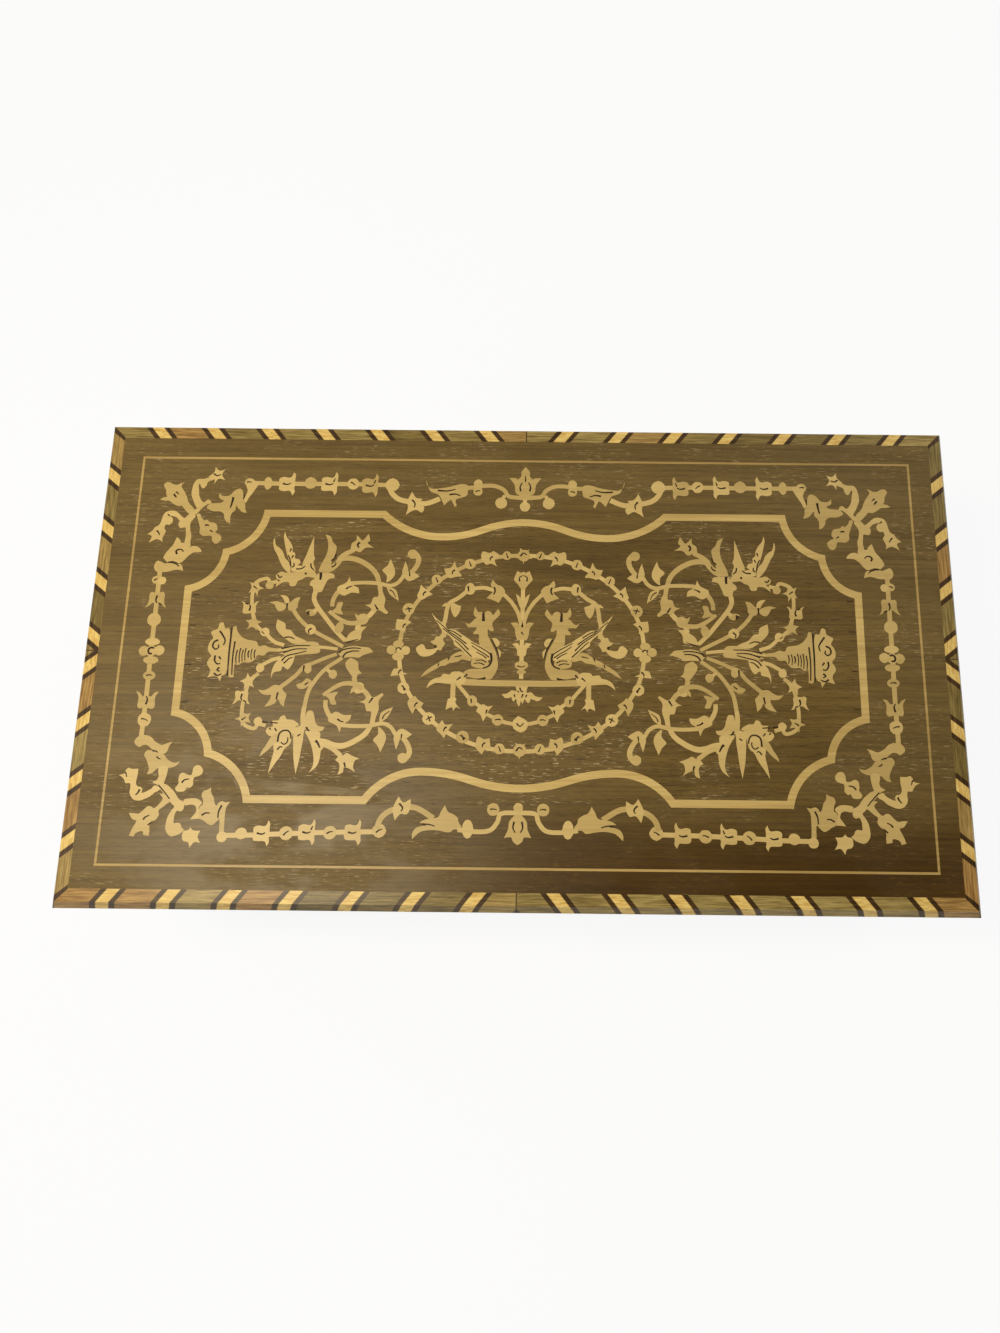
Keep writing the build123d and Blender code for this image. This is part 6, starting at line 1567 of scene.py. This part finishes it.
for mirror_y in (1, -1):
    # the scroll with its inner curl
    stem(spray, mirrored([(-67.4, 10), (-66.2, 13.4), (-62.6, 16), (-60, 19.6)]), 2)
    bead(spray, *mirrored([(-65.3, 14.4)])[0], 2.4, cut=False)
    stem(spray, mirrored([
        (-63.6, 15), (-67, 12.9), (-71.4, 12.7), (-75.4, 14.6), (-79.4, 17.6),
    ]), 2.3, 1.4)
    shape(spray, mirrored([
        (-78.4, 17.4), (-76.4, 16.8), (-73.6, 16.2), (-74.6, 18.6), (-73.8, 21.2), (-76, 21.2),
        (-76.8, 19),
    ]))
    leaf(spray, *mirrored([(-66.4, 13.6), (-68.6, 16.8)]), 1.3)
    stem(spray, mirrored([(-78.2, 19.6), (-78, 22.4), (-76.4, 25.6), (-74.4, 27.4)]), 1.7, 2)
    shape(spray, mirrored([
        (-76.6, 26.4), (-75.6, 25.2), (-73.6, 24.2), (-70.6, 25.6), (-67.4, 25.4, tip), (-68, 27.6),
        (-70, 28.8), (-71, 30), (-71.8, 32.6, tip), (-73.2, 29.8), (-76.4, 28.2),
    ]))
    engrave(mirrored([(-73, 27.2), (-71.8, 28), (-70.4, 28.4)]), 0.7)
    stem(spray, mirrored([
        (-71, 29.7), (-66, 30), (-60, 29.8), (-55, 28.8), (-51.6, 30.2), (-49.4, 33.4),
    ]), 1.6)
    shape(spray, mirrored([
        (-60.8, 17.2), (-59, 18.2), (-55.8, 16.6), (-55, 17.4, tip), (-56.8, 19.6), (-56.6, 23),
        (-57.8, 26.4), (-58.2, 29.8), (-60, 29.4), (-59.6, 24.4), (-61.6, 23.6), (-62.6, 21),
        (-64.8, 20.4, tip), (-62.6, 19.2),
    ]))
    engrave(mirrored([(-59.4, 18.4), (-60.8, 20.6)]), 0.8)
    # tendrils between the scroll and the wreath
    stem(spray, mirrored([(-49.6, 33), (-46.4, 34.6), (-44, 38.2), (-43.8, 41), (-45.4, 43)]), 1.8, 2.4)
    bead(spray, *mirrored([(-46.2, 42.6)])[0], 2.1, cut=False)
    shape(spray, mirrored([
        (-50.2, 34.2), (-48.6, 31.6), (-46.4, 31), (-42.8, 33, tip), (-45.2, 34.6), (-47.4, 34.8),
        (-48, 36.6), (-49, 39.4, tip), (-49.8, 36.6),
    ]))
    engrave(mirrored([(-47, 33), (-47.2, 35)]), 0.6)
    leaf(spray, *mirrored([(-56.4, 28.6), (-51, 22.2)]), 3.2, 0.5, True)
    shape(spray, mirrored([
        (-56.6, 30.2), (-54, 32), (-53.2, 35.2), (-55.2, 40.4, tip), (-56.4, 37.6), (-58.4, 35.4),
        (-56.4, 33),
    ]))
    # outer garland down to the basket
    stem(spray, mirrored([
        (-101.4, 30.2), (-104.4, 29.6), (-106, 31.4), (-110.4, 29.4), (-111.4, 24), (-110.8, 18),
        (-109.2, 12), (-106, 8.8),
    ]), 1.5)
    bead(spray, *mirrored([(-104.6, 28.4)])[0], 1.7, cut=False)
    shape(spray, turned(star_flower, *mirrored([(-110.4, 27.2)])[0], 50 * mirror_y, 0.85))
    engrave(mirrored([(-111.2, 28), (-109.6, 26.8)]), 0.6)
    garland_flower(spray, *mirrored([(-112, 18.8)])[0], 90 * mirror_y, 0.78, bell)
    shape(spray, turned(star_flower, *mirrored([(-110, 12.2)])[0], -10 * mirror_y, 0.85))


# Joints between the bent lengths of the cartouche band
for x, y in ((-134.6, 24), (-134.7, 11), (-134.9, -5.5), (-135, -21)):
    engrave([(x - 1.3, y), (x + 1.3, y + 0.1)], 0.25, 0.25)

# The cut-outs become one mesh for each part of the ornament, and each keeps its own tone of wood
cut_dark = (0.36, 0.255, 0.088, 1.0)
cut_light = (0.60, 0.440, 0.172, 1.0)
weld_gap = 0.0005 * mm
engraving_dark = plain_material("dark filler", (0.026, 0.014, 0.005, 1.0), 0.5, Specular_IOR_Level=0.12)[0]
cut_wood, cut_tree, cut_shader, cut_figure = wood_material(
    "yellowed maple cut-outs", inlay_pale, inlay_deep, inlay_line, 0.12, 0.36, offset=(0.3, 0.2, 0.0)
)
tone_at = add_node(cut_tree, "ShaderNodeAttribute", (-900, 400), attribute_name="tone")
toned = blend_colour(cut_tree, tone_at.outputs["Fac"], cut_dark, cut_light, (-600, 400))
cut_colour = blend_colour(cut_tree, 0.55, cut_figure.outputs["Color"], toned, (-300, 300))
cut_tree.links.new(cut_colour, cut_shader.inputs["Base Color"])
for groups, finish in ((cut_groups, cut_wood), (engraved_groups, engraving_dark)):
    for group, pieces in groups.items():
        select_only(pieces)
        bpy.ops.object.convert(target="MESH")
        bpy.ops.object.transform_apply(location=True, rotation=True, scale=True)
        for piece in pieces:
            tones = piece.data.attributes.new("tone", "FLOAT", "FACE")
            tones.data.foreach_set("value", [piece["tone"]] * len(piece.data.polygons))
        inlaid = joined(pieces, "inlay_" + group)
        bpy.ops.object.mode_set(mode="EDIT")
        bpy.ops.mesh.select_all(action="SELECT")
        bpy.ops.mesh.remove_doubles(threshold=weld_gap)
        bpy.ops.mesh.normals_make_consistent(inside=False)
        bpy.ops.object.mode_set(mode="OBJECT")
        inlaid.data.materials.clear()
        inlaid.data.materials.append(finish)
        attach(inlaid, "lid")


# Lid lining and mirror
# Silvered glass in a walnut frame with rounded edges, set inside the lid. Round the frame lies a padded
# lining of red satin, which is pulled into soft folds and tucked in at its edges.
mirror_glass = plain_material("silvered glass", (0.90, 0.92, 0.91, 1.0), 0.02, 1.0)[0]
dress("mirror", mirror_glass)
dress("mirror_frame", long_walnut, smooth=30.0)
lining_low, lining_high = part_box("lid_lining")
frame_low, frame_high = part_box("mirror_frame")
seat_gap = 0.4 * mm
lining_edge = 1.4 * mm
lining_edge_run = 9.0 * mm
puff_share = 0.87
fold_depth = 0.05
fold_chance = 0.03
deselect_all()
bpy.ops.mesh.primitive_plane_add(
    size=1.0,
    location=((lining_low[0] + lining_high[0]) / 2, (lining_low[1] + lining_high[1]) / 2, lining_high[2]),
)
padded_lining = bpy.context.object
padded_lining.name = "padded_lid_lining"
lining_length = lining_high[0] - lining_low[0]
lining_depth = lining_high[1] - lining_low[1]
padded_lining.scale = (lining_length - seat_gap, lining_depth - seat_gap, 1.0)
bpy.ops.object.transform_apply(location=True, rotation=True, scale=True)
left_end = frame_low[0] - seat_gap
right_end = frame_high[0] + seat_gap
front_end = frame_low[1] - seat_gap
back_end = frame_high[1] + seat_gap
bpy.ops.object.mode_set(mode="EDIT")
for at, facing in (((left_end, 0, 0), (1, 0, 0)), ((right_end, 0, 0), (1, 0, 0)),
                   ((0, front_end, 0), (0, 1, 0)), ((0, back_end, 0), (0, 1, 0))):
    bpy.ops.mesh.select_all(action="SELECT")
    bpy.ops.mesh.bisect(plane_co=at, plane_no=facing)
bpy.ops.mesh.select_all(action="DESELECT")
bpy.ops.object.mode_set(mode="OBJECT")
for polygon in padded_lining.data.polygons:
    x, y = polygon.center[0], polygon.center[1]
    polygon.select = left_end < x < right_end and front_end < y < back_end
bpy.ops.object.mode_set(mode="EDIT")
bpy.ops.mesh.select_mode(type="FACE")
bpy.ops.mesh.delete(type="FACE")
bpy.ops.mesh.select_all(action="SELECT")
bpy.ops.mesh.subdivide(number_cuts=15)
bpy.ops.mesh.select_all(action="SELECT")
bpy.ops.mesh.extrude_region_move(TRANSFORM_OT_translate={"value": (0, 0, -lining_edge)})
bpy.ops.object.mode_set(mode="OBJECT")
lining_puff = lining_high[2] - lining_low[2] - lining_edge
creases = Random(9)
for vertex in padded_lining.data.vertices:
    if vertex.co.z > lining_high[2] - lining_edge / 2:
        continue
    x, y = vertex.co.x, vertex.co.y
    from_outer = min(x - lining_low[0], lining_high[0] - x, y - lining_low[1], lining_high[1] - y)
    from_opening = max(left_end - x, x - right_end, front_end - y, y - back_end)
    rise = min(1.0, max(0.0, min(from_outer, from_opening)) / lining_edge_run)
    fold_along = fold_depth * sin(x * 240 + 2 * sin(y * 90))
    fold_across = fold_depth * sin(y * 260 + 2 * sin(x * 70))
    fold = fold_along + fold_across + fold_chance * creases.random()
    vertex.co.z -= lining_puff * max(0.0, (sin(rise * pi / 2) * puff_share + fold * rise))
bpy.ops.object.shade_smooth()
bpy.ops.object.mode_set(mode="EDIT")
bpy.ops.mesh.select_all(action="SELECT")
bpy.ops.mesh.normals_make_consistent(inside=False)
bpy.ops.object.mode_set(mode="OBJECT")
padded_lining.data.materials.append(red_satin)
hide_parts("lid_lining")
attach(padded_lining, "lid")


# Stage
# A sheet of white paper lies under the box, in a white surround with a dark ceiling. A small warm lamp
# hangs above on the left, and a broad and weaker one stands behind on the right.
sheet_size = 12.0
sheet_drop = 0.5 * mm
white_sheet, sheet_tree, sheet_shader = plain_material("white sheet", (0.88, 0.88, 0.88, 1.0), 0.9)
deselect_all()
bpy.ops.mesh.primitive_plane_add(size=sheet_size, location=(0, 0, -sheet_drop))
floor = bpy.context.object
floor.name = "stage_floor"
floor.data.materials.append(white_sheet)
seen = add_node(sheet_tree, "ShaderNodeLightPath", (-200, 300))
glow = add_node(sheet_tree, "ShaderNodeEmission", (0, -200))
shown = add_node(sheet_tree, "ShaderNodeMixShader", (300, 100))
share = sum_of(sheet_tree, "MULTIPLY", seen.outputs["Is Camera Ray"], 0.9, (0, 300))
sheet_tree.links.new(share, shown.inputs[0])
sheet_tree.links.new(sheet_shader.outputs[0], shown.inputs[1])
sheet_tree.links.new(glow.outputs[0], shown.inputs[2])
sheet_tree.links.new(shown.outputs[0], sheet_tree.nodes["Material Output"].inputs["Surface"])

world = bpy.data.worlds.new("white surround")
bpy.context.scene.world = world
world.use_nodes = True
sky = world.node_tree
surround = sky.nodes["Background"]
rays = add_node(sky, "ShaderNodeLightPath", (-800, 200))
past_surface = sum_of(
    sky, "MAXIMUM", rays.outputs["Is Glossy Ray"], rays.outputs["Is Transmission Ray"], (-600, 0)
)
seen_white = sum_of(sky, "MAXIMUM", rays.outputs["Is Camera Ray"], past_surface, (-400, 100))
level = spread(sky, seen_white, 0.40, 1.0, (-200, 100))
# the dark ceiling, which the lacquer reflects from right above
facing = add_node(sky, "ShaderNodeTexCoord", (-1200, -300))
overhead = add_node(sky, "ShaderNodeVectorMath", (-1000, -300), operation="DOT_PRODUCT")
overhead.inputs[1].default_value = (0.15, -0.05, 0.987)
sky.links.new(facing.outputs["Generated"], overhead.inputs[0])
gloom = ramp(sky, overhead.outputs["Value"], 0.70, 0.99, (-800, -300))
shade = sum_of(sky, "MULTIPLY", gloom, rays.outputs["Is Glossy Ray"], (-600, -300))
shade = sum_of(sky, "MULTIPLY", shade, 0.95, (-400, -300))
unshaded = sum_of(sky, "SUBTRACT", 1.0, shade, (-200, -300))
strength = sum_of(sky, "MULTIPLY", level, unshaded, (0, 0))
sky.links.new(strength, surround.inputs["Strength"])
surround.inputs["Color"].default_value = (1.0, 1.0, 1.0, 1.0)


def soft_lamp(name, at, aim, size, power, colour=(1.0, 1.0, 1.0)):
    """A lamp with a flat rectangular face pointed at a place."""
    lamp = bpy.data.objects.new(name, bpy.data.lights.new(name, "AREA"))
    lamp.data.shape = "RECTANGLE"
    lamp.data.size, lamp.data.size_y = size
    lamp.data.energy = power
    lamp.data.color = colour
    lamp.location = at
    lamp.rotation_euler = (Vector(aim) - Vector(at)).to_track_quat("-Z", "Y").to_euler()
    bpy.context.scene.collection.objects.link(lamp)


soft_lamp("key lamp", (-0.275, -0.04, 0.74), (-0.10, -0.05, 0.1), (0.12, 0.24), 3.5, (1.0, 0.88, 0.66))
soft_lamp("fill lamp", (0.7, 0.9, 1.2), (0.0, 0.0, 0.05), (0.8, 0.8), 2.2)

# the camera looks down from above the front edge, tilted a little to the back
eye = Vector((0.0190, -0.0930, 0.4985))
look = Vector((-0.00126, 0.23319, -0.97243)).normalized()
up = Vector((-0.01052, 0.97237, 0.23319))
right = look.cross(up).normalized()
up = right.cross(look)
camera = bpy.data.objects.new("camera", bpy.data.cameras.new("camera"))
camera.data.lens = 26.0
camera.data.sensor_width = 36.0
camera.data.shift_x = -0.0504
camera.data.shift_y = -0.0048
camera.matrix_world = Matrix((
    (right[0], up[0], -look[0], eye[0]),
    (right[1], up[1], -look[1], eye[1]),
    (right[2], up[2], -look[2], eye[2]),
    (0.0, 0.0, 0.0, 1.0),
))
camera.data.clip_start = 0.01
bpy.context.scene.collection.objects.link(camera)
bpy.context.scene.camera = camera
bpy.context.scene.view_settings.view_transform = "Standard"
